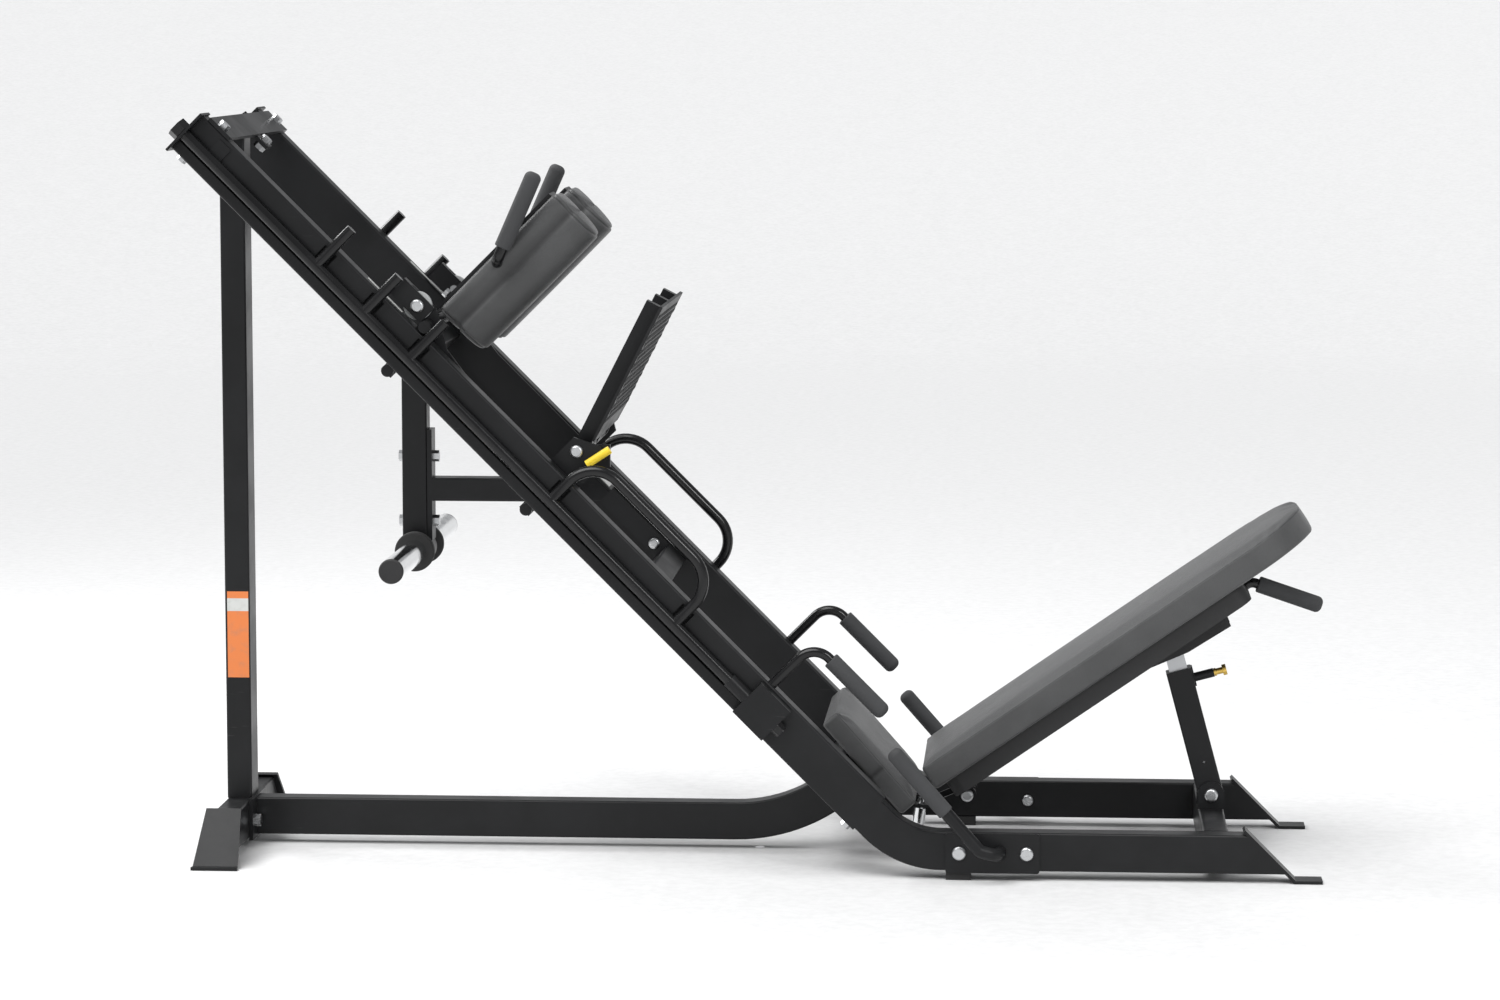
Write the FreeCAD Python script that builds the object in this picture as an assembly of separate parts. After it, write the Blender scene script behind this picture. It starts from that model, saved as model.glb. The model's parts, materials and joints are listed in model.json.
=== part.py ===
import FreeCAD
import Part
import math
import os

os.makedirs("parts", exist_ok=True)

# Combined 45-degree leg press and hack squat. Millimetres, +Z up, +X towards the back pad.
# "right" is the -Y side and "left" the +Y side; the machine is symmetric about Y = 0.
RIGHT = -1
LEFT = 1
V = FreeCAD.Vector
X_AXIS = V(1, 0, 0)
Y_AXIS = V(0, 1, 0)
Z_AXIS = V(0, 0, 1)

# ---------------------------------------------------------------- driving dimensions
TUBE_W = 50.8
TUBE_H = 76.2
WALL = 3.0
BASE_Z = 18.0
BASE_TOP = BASE_Z + TUBE_H
RAIL_OUT = 317.4
RAIL_IN = RAIL_OUT - TUBE_W
RAIL_MID = 0.5 * (RAIL_OUT + RAIL_IN)
RAIL_DEPTH = 88.9
RAIL_ANGLE = 45.0
RAIL_ORIGIN = V(149.15, 0, 149.15)
RAIL_TOP_U = -1801.0
RAIL_SEAM_U = -257.0
RUNNER_SEAM_U = 75.5
FOOT_PLATE = 6.0
EDGE_R = 5.0

POST_X0 = -1086.0
POST_X1 = POST_X0 + TUBE_W
REAR_TOP_Y = 213.0
REAR_LIP_Y = 325.0

RUNNER_BEND_X = 375.5
RUNNER_BEND_R = 137.0
RUNNER_END_X = 969.0
RUNNER_LIP_X = 1118.0

LOCK_Y = 332.0
LOCK_V = 39.5
LOCK_R = 12.0
LOCK_BORE_R = 12.05
PEG_R = 11.0
PEG_U = (-1442.5, -1313.0, -1187.0)
PEG_TOP_V = 140.5
LOOP_U = (-799.0, -458.0)
LOOP_TOP_V = 160.0
LOOP_BEND = 66.0

SIDE_IN = 254.0
SIDE_OUT = 262.0
DECK_HALF = 62.0
DECK_V = 100.0
STOP_U = -1210.0
STOP_V = 103.0
STOP_R = 12.0
STOP_HALF = 319.0
ROLLER_U = -1251.0
ROLLER_R = 28.0
ROLLER_V = RAIL_DEPTH + ROLLER_R + 0.1
AXLE_R = 8.0
AXLE_BORE_R = 8.05

PAD_IN = 83.0
PAD_OUT = 197.0
PAD_BACK_U = -1222.0
PAD_FLAT_U = -1165.0
PAD_FRONT_U = -1099.0
PAD_LOW_V = 128.0
PAD_HIGH_V = 457.0
PAD_GRIP_Y = 215.0

COLUMN_X0 = -723.0
COLUMN_X1 = COLUMN_X0 + TUBE_W
HORN_X = -692.0
HORN_Z = 607.5
HORN_R = 24.5
HORN_CORE_R = 20.0
DISC_IN = 58.0
DISC_OUT = 78.0
HORN_TIP = 388.0

FOOT_HINGE = V(-343.0, 0, 831.0)
FOOT_ANGLE = 63.0
FOOT_PIN = V(-299.0, 0, 822.0)
TREAD_HALF = 240.0

SEAT_ORIGIN = V(164.0, 0, 306.0)
SEAT_ANGLE = 48.5
SEAT_HALF = 173.0
SEAT_LENGTH = 240.0
SEAT_THICK = 40.0

PIN_TOP = V(330.5, -60, 116.0)
PIN_NECK = V(327.5, -60, 95.8)
PIN_END = V(321.5, -60, 55.4)
PIN_NECK_R = 7.0

BACK_ORIGIN = V(362.0, 0, 151.0)
BACK_ANGLE = 34.7
BACK_HALF = 172.0
BACK_LENGTH = 904.0
BACK_THICK = 52.6
BACK_CORNER_R = 130.0
BACK_HINGE = V(421.0, 0, 119.0)
BOARD_HALF = 150.0
BOARD_THICK = 38.0

STRUT_BASE = V(911.0, 0, 122.7)
STRUT_TOP = V(833.3, 0, 410.5)
STRUT_LEAN = 15.12
STRUT_OUTER = 259.5


# ---------------------------------------------------------------- helpers
def box(x0, x1, y0, y1, z0, z1):
    """Axis-aligned box between two corners."""
    return Part.makeBox(x1 - x0, y1 - y0, z1 - z0, V(x0, y0, z0))


def prism(points, y0, y1):
    """Polygon in XZ swept along Y between y0 and y1."""
    corners = [V(x, y0, z) for x, z in points]
    wire = Part.makePolygon(corners + [corners[0]])
    return Part.Face(wire).extrude(V(0, y1 - y0, 0))


def side_prism(points, side, y_in, y_out):
    """Polygon in XZ swept between two distances from the middle, on one side."""
    low, high = sorted((side * y_in, side * y_out))
    return prism(points, low, high)


def side_box(x0, x1, side, y_in, y_out, z0, z1):
    """Box between two distances from the middle, on one side."""
    low, high = sorted((side * y_in, side * y_out))
    return box(x0, x1, low, high, z0, z1)


def turned(shape, origin, angle):
    """Move a shape drawn in a local XZ frame to one tipped down by angle about Y."""
    placed = shape.copy()
    placed.Placement = FreeCAD.Placement(origin, FreeCAD.Rotation(Y_AXIS, angle))
    return placed


def on_rail(shape):
    """Rail frame: X runs down the rail, Z stands off it, zero on the rail's underside."""
    return turned(shape, RAIL_ORIGIN, RAIL_ANGLE)


def on_seat(shape):
    """Seat frame: X runs down the seat, Z is the seat's outward normal."""
    return turned(shape, SEAT_ORIGIN, SEAT_ANGLE)


def on_back(shape):
    """Back frame: X runs up the back pad, Z is the pad's outward normal."""
    return turned(shape, BACK_ORIGIN, -BACK_ANGLE)


def on_foot(shape):
    """Foot-plate frame: X runs up the plate from its hinge, the tread faces -Z."""
    return turned(shape, FOOT_HINGE, -FOOT_ANGLE)


def on_strut(shape):
    """Strut frame: Z runs up the strut from its lower pivot."""
    return turned(shape, STRUT_BASE, -STRUT_LEAN)


def rail_point(u, y, v):
    """World point of a rail-frame position."""
    c = math.sqrt(0.5)
    return V(RAIL_ORIGIN.x + c * (u + v), y, RAIL_ORIGIN.z + c * (v - u))


def rod(p0, p1, radius):
    """Cylinder between two points."""
    axis = p1 - p0
    return Part.makeCylinder(radius, axis.Length, p0, axis)


def bar_y(x, z, y0, y1, radius):
    """Cylinder along Y."""
    return Part.makeCylinder(radius, y1 - y0, V(x, y0, z), Y_AXIS)


def bent_rod(points, radius, bends):
    """Round bar along straight runs joined by tangent bends."""
    edges = []
    start = points[0]
    for i in range(1, len(points) - 1):
        corner = points[i]
        inward = (points[i - 1] - corner).normalize()
        outward = (points[i + 1] - corner).normalize()
        turn = math.pi - inward.getAngle(outward)
        cut = bends[i - 1] * math.tan(0.5 * turn)
        first = corner + inward * cut
        last = corner + outward * cut
        bisector = (inward + outward).normalize()
        reach = bends[i - 1] / math.cos(0.5 * turn) - bends[i - 1]
        middle = corner + bisector * reach
        edges.append(Part.LineSegment(start, first).toShape())
        edges.append(Part.Arc(first, middle, last).toShape())
        start = last
    edges.append(Part.LineSegment(start, points[-1]).toShape())
    path = Part.Wire(edges)
    heading = points[1] - points[0]
    ring = Part.Wire(Part.makeCircle(radius, points[0], heading))
    return path.makePipeShell([ring], True, False)


def grip(points, length, outer, inner):
    """Foam sleeve with a closed round tip over the last straight run of a handle."""
    end = points[-1]
    axis = (end - points[-2]).normalize()
    start = end - axis * length
    sleeve = rod(start, end + axis * 9.0, outer)
    rims = [e for e in sleeve.Edges if e.Length > outer and len(e.Vertexes) == 1]
    tip = [e for e in rims if (e.CenterOfMass - end).Length < 20]
    sleeve = sleeve.makeFillet(0.72 * outer, tip)
    back = [e for e in sleeve.Edges if len(e.Vertexes) == 1 and (e.CenterOfMass - start).Length < 1]
    sleeve = sleeve.makeFillet(2.5, back)
    return sleeve.cut(rod(start - axis, end, inner))


def button_head(point, axis, radius=13.5, height=8.0):
    """Domed bolt head standing on a surface."""
    head = Part.makeCylinder(radius, height, point, axis)
    rim = [e for e in head.Edges if len(e.Vertexes) == 1 and
           (e.CenterOfMass - point).Length > 0.5 * height]
    return head.makeFillet(0.7 * height, rim)


def hex_head(point, axis, flats, height):
    """Hexagonal head or nut standing on a surface."""
    radius = flats / math.sqrt(3.0)
    corners = []
    for i in range(7):
        a = math.radians(60.0 * i)
        corners.append(V(radius * math.cos(a), radius * math.sin(a), 0))
    block = Part.Face(Part.makePolygon(corners)).extrude(V(0, 0, height))
    block.Placement = FreeCAD.Placement(point, FreeCAD.Rotation(V(0, 0, 1), axis))
    return block


def eased(shape, axis, radius, least=40.0):
    """Round the long straight edges that run along an axis."""
    edges = [e for e in shape.Edges if e.Length > least and isinstance(e.Curve, Part.Line)
             and abs(e.Curve.Direction.dot(axis)) > 0.999]
    return shape.makeFillet(radius, edges)


def fused(shapes):
    """One clean solid from touching shapes."""
    whole = shapes[0].multiFuse(shapes[1:])
    return whole.removeSplitter()


def export(name, shape):
    """Write one node."""
    shape.exportStep("parts/" + name + ".step")


# ---------------------------------------------------------------- base frame
def foot_profile(x0, side):
    """Bent floor plate on a 45-degree tube end that starts at x0 on the tube's top."""
    t = FOOT_PLATE * math.sqrt(2.0)
    return [(x0 - 6, BASE_TOP + 6), (x0 - 6 + t / 2, BASE_TOP + 6 + t / 2),
            (x0 + BASE_TOP + t - FOOT_PLATE, FOOT_PLATE), (side, FOOT_PLATE), (side, 0),
            (x0 + BASE_TOP, 0)]


def rear_base():
    """Rear crossbar with its two bent feet, welded."""
    low = REAR_TOP_Y + TUBE_H
    outline = [(-REAR_TOP_Y, BASE_TOP), (REAR_TOP_Y, BASE_TOP), (low, BASE_Z), (-low, BASE_Z)]
    corners = [V(POST_X0, y, z) for y, z in outline]
    bar = Part.Face(Part.makePolygon(corners + [corners[0]])).extrude(V(TUBE_W, 0, 0))
    hollow = box(POST_X0 + WALL, POST_X1 - WALL, -400, 400, BASE_Z + WALL, BASE_TOP - WALL)
    parts = [eased(bar, Y_AXIS, EDGE_R).cut(hollow)]
    mid = 0.5 * (POST_X0 + POST_X1)
    for side in (RIGHT, LEFT):
        points = foot_profile(REAR_TOP_Y, REAR_LIP_Y)
        corners = [V(mid - 60, side * y, z) for y, z in points]
        plate = Part.Face(Part.makePolygon(corners + [corners[0]])).extrude(V(120, 0, 0))
        taper = [V(mid - 33, side * 190, 110), V(mid + 33, side * 190, 110),
                 V(mid + 47, side * 330, -1), V(mid - 47, side * 330, -1)]
        outline = [V(p.x, p.y, 0) for p in taper]
        mask = Part.Face(Part.makePolygon(outline + [outline[0]])).extrude(V(0, 0, 120))
        parts.append(plate.common(mask.translated(V(0, 0, -2))))
    return fused(parts)


def upright_post():
    """Upright tube, its top cut parallel to the rails."""
    post = box(POST_X0, POST_X1, -TUBE_H / 2, TUBE_H / 2, BASE_TOP, 1476)
    hollow = box(POST_X0 + WALL, POST_X1 - WALL, -TUBE_H / 2 + WALL, TUBE_H / 2 - WALL,
                 BASE_TOP - 1, 1480)
    above = on_rail(box(-2200, 200, -400, 400, RAIL_DEPTH, 400))
    return eased(post, Z_AXIS, EDGE_R).cut(hollow).cut(above)


def base_beam():
    """Centre floor tube, flanged at the post and bent up to the lower crossmember."""
    cx, cz, r_out = -47.0, 388.0, 370.0
    half = TUBE_W / 2

    def bent(inset):
        """Bent length, all walls moved in by inset."""
        ring = Part.makeCylinder(r_out - inset, TUBE_W - 2 * inset, V(cx, -half + inset, cz), Y_AXIS)
        core = Part.makeCylinder(r_out - TUBE_H + inset, TUBE_W, V(cx, -half, cz), Y_AXIS)
        wedge = prism([(cx, cz), (cx, cz - 500), (cx + 500, cz - 500), (cx + 500, cz - 480)],
                      -half, half)
        return ring.cut(core).common(wedge)

    def straight(inset):
        """Straight length, all walls moved in by inset."""
        return box(POST_X1 + 8, cx, -half + inset, half - inset, BASE_Z + inset, BASE_TOP - inset)

    below = on_rail(box(-400, 400, -100, 100, 2, 300))
    outside = fused([straight(0), bent(0)])
    rims = [e for e in outside.Edges if e.Length > 100 and abs(e.Vertexes[0].Y - e.Vertexes[-1].Y) < 1]
    outside = outside.makeFillet(EDGE_R, rims).cut(below)
    inside = straight(WALL).fuse(bent(WALL))
    flange = box(POST_X1, POST_X1 + 8, -75, 75, BASE_Z - 4, BASE_TOP + 4)
    return fused([outside.cut(inside), flange])


def top_crossmember():
    """Plate over both rails at the top with a small bracket behind the post."""
    plate = on_rail(box(-1790, -1734, -RAIL_OUT, RAIL_OUT, RAIL_DEPTH, RAIL_DEPTH + 8))
    tongue = on_rail(box(-1740, -1702, -22, 22, RAIL_DEPTH - 4, RAIL_DEPTH + 4))
    tongue = tongue.cut(on_rail(box(-1900, -1734, -400, 400, 0, RAIL_DEPTH)))
    return fused([plate, tongue])


def lower_crossmember():
    """Tube between the lower rail boxes that takes the base beam."""
    body = on_rail(box(-22, 68, -RAIL_IN, RAIL_IN, 2, 52.8))
    hollow = on_rail(box(-22 + WALL, 68 - WALL, -RAIL_IN - 1, RAIL_IN + 1, 2 + WALL, 52.8 - WALL))
    return eased(body, Y_AXIS, EDGE_R).cut(hollow)


def rail(side):
    """Lipped rail with the closed web inboard and its top end plate."""
    t = 4.0
    web = side_box(RAIL_TOP_U, RAIL_SEAM_U, side, RAIL_IN, RAIL_IN + t, 0, RAIL_DEPTH)
    upper = side_box(RAIL_TOP_U, RAIL_SEAM_U, side, RAIL_IN, RAIL_OUT, RAIL_DEPTH - t, RAIL_DEPTH)
    lower = side_box(RAIL_TOP_U, RAIL_SEAM_U, side, RAIL_IN, RAIL_OUT, 0, t)
    upper_lip = side_box(RAIL_TOP_U, RAIL_SEAM_U, side, RAIL_OUT - t, RAIL_OUT, 49, RAIL_DEPTH)
    lower_lip = side_box(RAIL_TOP_U, RAIL_SEAM_U, side, RAIL_OUT - t, RAIL_OUT, 0, 22.6)
    body = fused([web, upper, lower, upper_lip, lower_lip])
    corners = [e for e in body.Edges if e.Length > 1000 and e.CenterOfMass.z in (0.0, RAIL_DEPTH)]
    body = body.makeFillet(EDGE_R, corners)
    lips = [e for e in body.Edges if e.Length > 1000 and
            (abs(e.CenterOfMass.z - 49) < 0.1 or abs(e.CenterOfMass.z - 22.6) < 0.1)]
    body = body.makeFillet(1.8, lips)
    for u in PEG_U + LOOP_U:
        body = body.cut(side_box(u - 16, u + 16, side, RAIL_OUT - t - 1, RAIL_OUT + 1, 40, 80))
    plate = side_box(RAIL_TOP_U - 5, RAIL_TOP_U, side, 262, 350, -5, 93)
    body = fused([body, plate])
    block = side_box(-1748, -1717, side, RAIL_OUT, RAIL_OUT + 3, 49, 80)
    body = fused([body, block])
    bore = rod(V(-1830, side * LOCK_Y, LOCK_V), V(-1790, side * LOCK_Y, LOCK_V), LOCK_BORE_R)
    return on_rail(body.cut(bore))


def lower_rail(side):
    """Box length below the lipped rail with the lock rod's cover and sleeve."""
    body = side_box(RAIL_SEAM_U, RUNNER_SEAM_U, side, RAIL_IN, RAIL_OUT, 0, RAIL_DEPTH)
    hollow = side_box(RAIL_SEAM_U - 1, RUNNER_SEAM_U + 1, side, RAIL_IN + WALL, RAIL_OUT - WALL,
                      WALL, RAIL_DEPTH - WALL)
    body = eased(body, X_AXIS, EDGE_R).cut(hollow)
    cover = side_box(RAIL_SEAM_U, -177, side, RAIL_OUT, 347, 2, 82)
    sleeve = rod(V(-305, side * LOCK_Y, LOCK_V), V(RAIL_SEAM_U, side * LOCK_Y, LOCK_V), 15)
    whole = fused([body, cover, sleeve])
    bore = rod(V(-310, side * LOCK_Y, LOCK_V), V(-170, side * LOCK_Y, LOCK_V), LOCK_BORE_R)
    return on_rail(whole.cut(bore))


def runner_outline(inset):
    """Closed outline of the bent runner, every wall moved in by inset."""
    r_in = RUNNER_BEND_R + inset
    r_out = RUNNER_BEND_R + TUBE_H - inset
    cx, cz = RUNNER_BEND_X, BASE_TOP + RUNNER_BEND_R
    c = math.sqrt(0.5)

    def at(radius, degrees):
        """Point on the bend, degrees measured from straight down towards -X."""
        a = math.radians(degrees)
        return V(cx - radius * math.sin(a), 0, cz - radius * math.cos(a))

    seam = 45.0
    back = (cx - cz) * c - RUNNER_SEAM_U + (1.0 if inset else 0.0)
    up_in = at(r_in, seam) + V(-c, 0, c) * back
    up_out = at(r_out, seam) + V(-c, 0, c) * back
    top = BASE_TOP - inset
    low = BASE_Z + inset
    run = 5.0 if inset else 0.0
    end_top = V(RUNNER_END_X + inset + run, 0, top)
    end_low = V(RUNNER_END_X + TUBE_H - inset + run, 0, low)
    edges = [Part.LineSegment(up_in, at(r_in, seam)).toShape(),
             Part.Arc(at(r_in, seam), at(r_in, seam / 2), at(r_in, 0)).toShape(),
             Part.LineSegment(at(r_in, 0), end_top).toShape(),
             Part.LineSegment(end_top, end_low).toShape(),
             Part.LineSegment(end_low, at(r_out, 0)).toShape(),
             Part.Arc(at(r_out, 0), at(r_out, seam / 2), at(r_out, seam)).toShape(),
             Part.LineSegment(at(r_out, seam), up_out).toShape(),
             Part.LineSegment(up_out, up_in).toShape()]
    return Part.Face(Part.Wire(edges))


def runner(side):
    """Bent floor runner with its sloped front foot, welded."""
    low = min(side * RAIL_IN, side * RAIL_OUT)
    outside = runner_outline(0).extrude(V(0, TUBE_W, 0))
    rims = [e for e in outside.Edges if abs(e.Vertexes[0].Y - e.Vertexes[-1].Y) < 1
            and abs(e.Length - TUBE_H) > 1 and abs(e.Length - TUBE_H * math.sqrt(2.0)) > 1]
    outside = outside.makeFillet(EDGE_R, rims).translated(V(0, low, 0))
    inside = runner_outline(WALL).extrude(V(0, TUBE_W - 2 * WALL, 0))
    tube = outside.cut(inside.translated(V(0, low + WALL, 0)))
    foot = side_prism(foot_profile(RUNNER_END_X, RUNNER_LIP_X), side, RAIL_IN, RAIL_OUT)
    return fused([tube, foot])


def strut_crossmember():
    """Tube between the runners with the strut's clevis ears."""
    x0, x1 = STRUT_BASE.x - 25.4, STRUT_BASE.x + 25.4
    tube = box(x0, x1, -RAIL_IN, RAIL_IN, BASE_Z, BASE_TOP)
    hollow = box(x0 + WALL, x1 - WALL, -RAIL_IN - 1, RAIL_IN + 1, BASE_Z + WALL, BASE_TOP - WALL)
    parts = [eased(tube, Y_AXIS, EDGE_R).cut(hollow)]
    for side in (RIGHT, LEFT):
        ear = side_box(STRUT_BASE.x - 27, STRUT_BASE.x + 27, side, 26.2, 32.2, BASE_TOP, STRUT_BASE.z)
        low, high = sorted((side * 26.2, side * 32.2))
        cap = bar_y(STRUT_BASE.x, STRUT_BASE.z, low, high, 27)
        cap = cap.cut(box(x0 - 10, x1 + 10, -50, 50, 0, BASE_TOP))
        parts.append(ear)
        parts.append(cap)
    bore = bar_y(STRUT_BASE.x, STRUT_BASE.z, -40, 40, AXLE_R)
    return fused(parts).cut(bore)


def side_handle_path(side):
    """Corner points of a low handle."""
    return [V(490, side * (RAIL_OUT + FOOT_PLATE - 1), 56), V(490, side * 365, 56),
            V(452, side * 367, 66), V(390, side * 367, 137), V(286, side * 367, 255.5)]


def side_handle(side):
    """Low handle on its plate, fixed to the runner's outer face."""
    plate = side_box(384, 568, side, RAIL_OUT, RAIL_OUT + FOOT_PLATE, 14.5, 93.4)
    corners = [e for e in plate.Edges if abs(e.Length - FOOT_PLATE) < 0.01]
    plate = plate.makeFillet(6, corners)
    bar = bent_rod(side_handle_path(side), 12.7, [26, 22, 60])
    return fused([plate, bar])


def side_grip(side):
    """Foam sleeve of a low handle."""
    return grip(side_handle_path(side), 152, 16.2, 12.7)


def rail_handle_path(side):
    """Corner points of an upper handle."""
    return [rail_point(-238, side * 303, RAIL_DEPTH), rail_point(-238, side * 303, 205),
            rail_point(-51, side * 303, 205)]


def rail_handle(side):
    """Upper handle that stands off the lower rail box and runs down beside the seat."""
    return bent_rod(rail_handle_path(side), 10.0, [42])


def rail_grip(side):
    """Foam sleeve of an upper handle."""
    return grip(rail_handle_path(side), 141, 16.8, 10.0)


def frame_bolts():
    """Bolt heads and nuts of the fixed frame."""
    heads = []
    for side in (RIGHT, LEFT):
        out = V(0, side, 0)
        plate = RAIL_OUT + FOOT_PLATE
        heads.append(button_head(V(410.6, side * plate, 54), out, 14))
        heads.append(button_head(V(542.5, side * plate, 54), out, 14))
        heads.append(button_head(V(410.6, side * RAIL_IN, 54), -out, 12))
        heads.append(button_head(V(542.5, side * RAIL_IN, 54), -out, 12))
        top = rail_point(-1762, side * RAIL_MID, RAIL_DEPTH + 8)
        heads.append(hex_head(top, V(1, 0, 1), 20, 10))
        below = rail_point(-1776, side * RAIL_MID, 0)
        heads.append(hex_head(below, V(-1, 0, -1), 18, 9))
        heads.append(button_head(V(231.5, side * 88, 152.3), out, 5.4, 5))
        under = rail_point(60, side * RAIL_MID, 0)
        heads.append(hex_head(under, V(-1, 0, -1), 18, 10))
    heads.append(hex_head(V(POST_X1 + 8, -58, 53), V(1, 0, 0), 22, 14))
    heads.append(hex_head(V(POST_X1 + 8, 58, 53), V(1, 0, 0), 22, 14))
    heads.append(hex_head(rail_point(-1717, 0, RAIL_DEPTH + 4), V(1, 0, 1), 20, 10))
    heads.append(hex_head(rail_point(-1717, 0, RAIL_DEPTH - 4), V(-1, 0, -1), 22, 12))
    heads.append(button_head(V(STRUT_BASE.x, -32.2, STRUT_BASE.z), V(0, -1, 0), 14))
    heads.append(button_head(V(STRUT_BASE.x, 32.2, STRUT_BASE.z), V(0, 1, 0), 14))
    shaft = bar_y(STRUT_BASE.x, STRUT_BASE.z, -32.2, 32.2, AXLE_R)
    heads.append(shaft)
    hinge = bar_y(BACK_HINGE.x, BACK_HINGE.z, -46, 46, AXLE_R)
    heads.append(hinge)
    heads.append(button_head(V(BACK_HINGE.x, -46, BACK_HINGE.z), V(0, -1, 0), 13))
    heads.append(button_head(V(BACK_HINGE.x, 46, BACK_HINGE.z), V(0, 1, 0), 13))
    return Part.Compound(heads)


def frame_labels():
    """Blank label on the post and blank strips on the rails' top faces."""
    items = [box(POST_X0 + 5, POST_X1 - 2.5, -TUBE_H / 2 - 0.8, -TUBE_H / 2, 343, 519)]
    for side in (RIGHT, LEFT):
        strip = side_box(-1357, -1263, side, 282, 293, RAIL_DEPTH, RAIL_DEPTH + 0.8)
        items.append(on_rail(strip))
    return Part.Compound(items)


def runner_pads():
    """Rubber feet under the two runners."""
    return Part.Compound([side_box(385, 434, side, RAIL_IN, RAIL_OUT, 0, BASE_Z)
                          for side in (RIGHT, LEFT)])


def back_hinge_arm():
    """Two plates from the lower crossmember to the back pad's hinge."""
    outline = [(204.3, 102.5), (228.0, 76.0), (400.0, 78.0), (434.0, 105.0), (406.0, 127.0),
               (352.0, 104.0), (306.0, 104.0), (290.0, 92.0), (262.0, 108.0), (232.6, 130.8)]
    parts = []
    for side in (RIGHT, LEFT):
        low, high = sorted((side * 38, side * 44))
        parts.append(side_prism(outline, side, 38, 44))
        parts.append(bar_y(BACK_HINGE.x, BACK_HINGE.z, low, high, 19))
    parts.append(box(352, 382, -38, 38, 80, 92))
    parts.append(on_rail(box(68, 74, -60, 60, 4, 50.8)))
    parts.append(box(316, 346, -76, -38, 98, 104))
    bore = bar_y(BACK_HINGE.x, BACK_HINGE.z, -60, 60, AXLE_R)
    neck = rod(PIN_TOP, PIN_NECK, PIN_NECK_R + 0.05)
    return fused(parts).cut(bore).cut(neck)


# ---------------------------------------------------------------- seat
def seat_bracket():
    """Plate under the seat and the two webs that carry it."""
    plate = on_seat(box(14, 226, -120, 120, -SEAT_THICK - 5, -SEAT_THICK))
    webs = []
    for side in (RIGHT, LEFT):
        web = on_rail(side_box(-20, 66, side, 80, 88, 52.8, 160))
        webs.append(web.cut(on_seat(box(-200, 500, -200, 200, -SEAT_THICK, 300))))
    return fused([plate] + webs)


def seat_pad():
    """Padded seat."""
    pad = on_seat(box(0, SEAT_LENGTH, -SEAT_HALF, SEAT_HALF, -SEAT_THICK, 8))
    return pad


def seat_pin():
    """Chrome pull knob below the seat's front end."""
    head = rod(PIN_NECK, PIN_END, 13.0)
    tip = [e for e in head.Edges if len(e.Vertexes) == 1 and (e.CenterOfMass - PIN_END).Length < 1]
    head = head.makeFillet(11.0, tip)
    neck = rod(PIN_TOP, PIN_NECK, PIN_NECK_R)
    return fused([head, neck])


# ---------------------------------------------------------------- lock rods
def lock_rod(side):
    """Turning rod with its stop pegs, lifting loop and end nuts."""
    y = side * LOCK_Y
    shaft = rod(rail_point(-1812, y, LOCK_V), rail_point(-160, y, LOCK_V), LOCK_R)
    parts = [shaft]
    for u in PEG_U:
        parts.append(rod(rail_point(u, y, LOCK_V), rail_point(u, y, PEG_TOP_V), PEG_R))
    loop = [rail_point(LOOP_U[0], y, LOCK_V), rail_point(LOOP_U[0], y, LOOP_TOP_V),
            rail_point(LOOP_U[1], y, LOOP_TOP_V), rail_point(LOOP_U[1], y, LOCK_V)]
    parts.append(bent_rod(loop, PEG_R, [LOOP_BEND, LOOP_BEND]))
    down = V(1, 0, -1)
    parts.append(hex_head(rail_point(-1825, y, LOCK_V), down, 36, 18))
    parts.append(hex_head(rail_point(-176, y, LOCK_V), down, 24, 14))
    return fused(parts)


# ---------------------------------------------------------------- carriage
def carriage_side(side):
    """Side plate inside one rail, with the hinge ears of the foot plate."""
    ear = {RIGHT: [(-778, 59), (-776, 120), (-776, 165), (-804, 175), (-854, 150)],
           LEFT: [(-778, 59), (-806, 110), (-806, 148), (-826, 160), (-854, 150)]}
    outline = [(-1225, 19), (-512, 19), (-512, 59)] + ear[side]
    outline += [(-854, 86), (-1091, 86), (-1150, 95), (-1224, 138), (-1307, 138), (-1307, 97), (-1225, 97)]
    plate = side_prism(outline, side, SIDE_IN, SIDE_OUT)
    parts = [plate]
    for u in (-1203.0, -820.0):
        low, high = sorted((side * SIDE_IN, side * 290))
        parts.append(side_box(u - 13, u + 13, side, SIDE_IN, SIDE_OUT, -24, 19))
        parts.append(bar_y(u, -14.0, low, high, 12))
    bracket = side_box(-1307, -1224, side, 274, 280, 97, 138)
    foot = side_box(-1307, -1287, side, SIDE_OUT, 274, 122, 138)
    body = on_rail(fused(parts + [bracket, foot]))
    hole = bar_y(FOOT_HINGE.x, FOOT_HINGE.z, -290, 290, AXLE_BORE_R)
    axle = on_rail(bar_y(ROLLER_U, ROLLER_V, -290, 290, AXLE_R))
    bar = on_rail(bar_y(STOP_U, STOP_V, -STOP_HALF, STOP_HALF, STOP_R))
    pin = bar_y(FOOT_PIN.x, FOOT_PIN.z, -290, -230, 6.05)
    return body.cut(hole).cut(axle).cut(bar).cut(pin)


def carriage_cross():
    """Upper and lower cross tubes of the carriage and the tie plate between the sides."""
    parts = []
    for u0, u1 in ((-1225, -1174), (-826, -775), (-562, -512)):
        tube = box(u0, u1, -SIDE_IN, SIDE_IN, 19, 59)
        hollow = box(u0 + WALL, u1 - WALL, -SIDE_IN - 1, SIDE_IN + 1, 19 + WALL, 59 - WALL)
        parts.append(on_rail(eased(tube, Y_AXIS, 4.0).cut(hollow)))
    return Part.Compound(parts)


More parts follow.
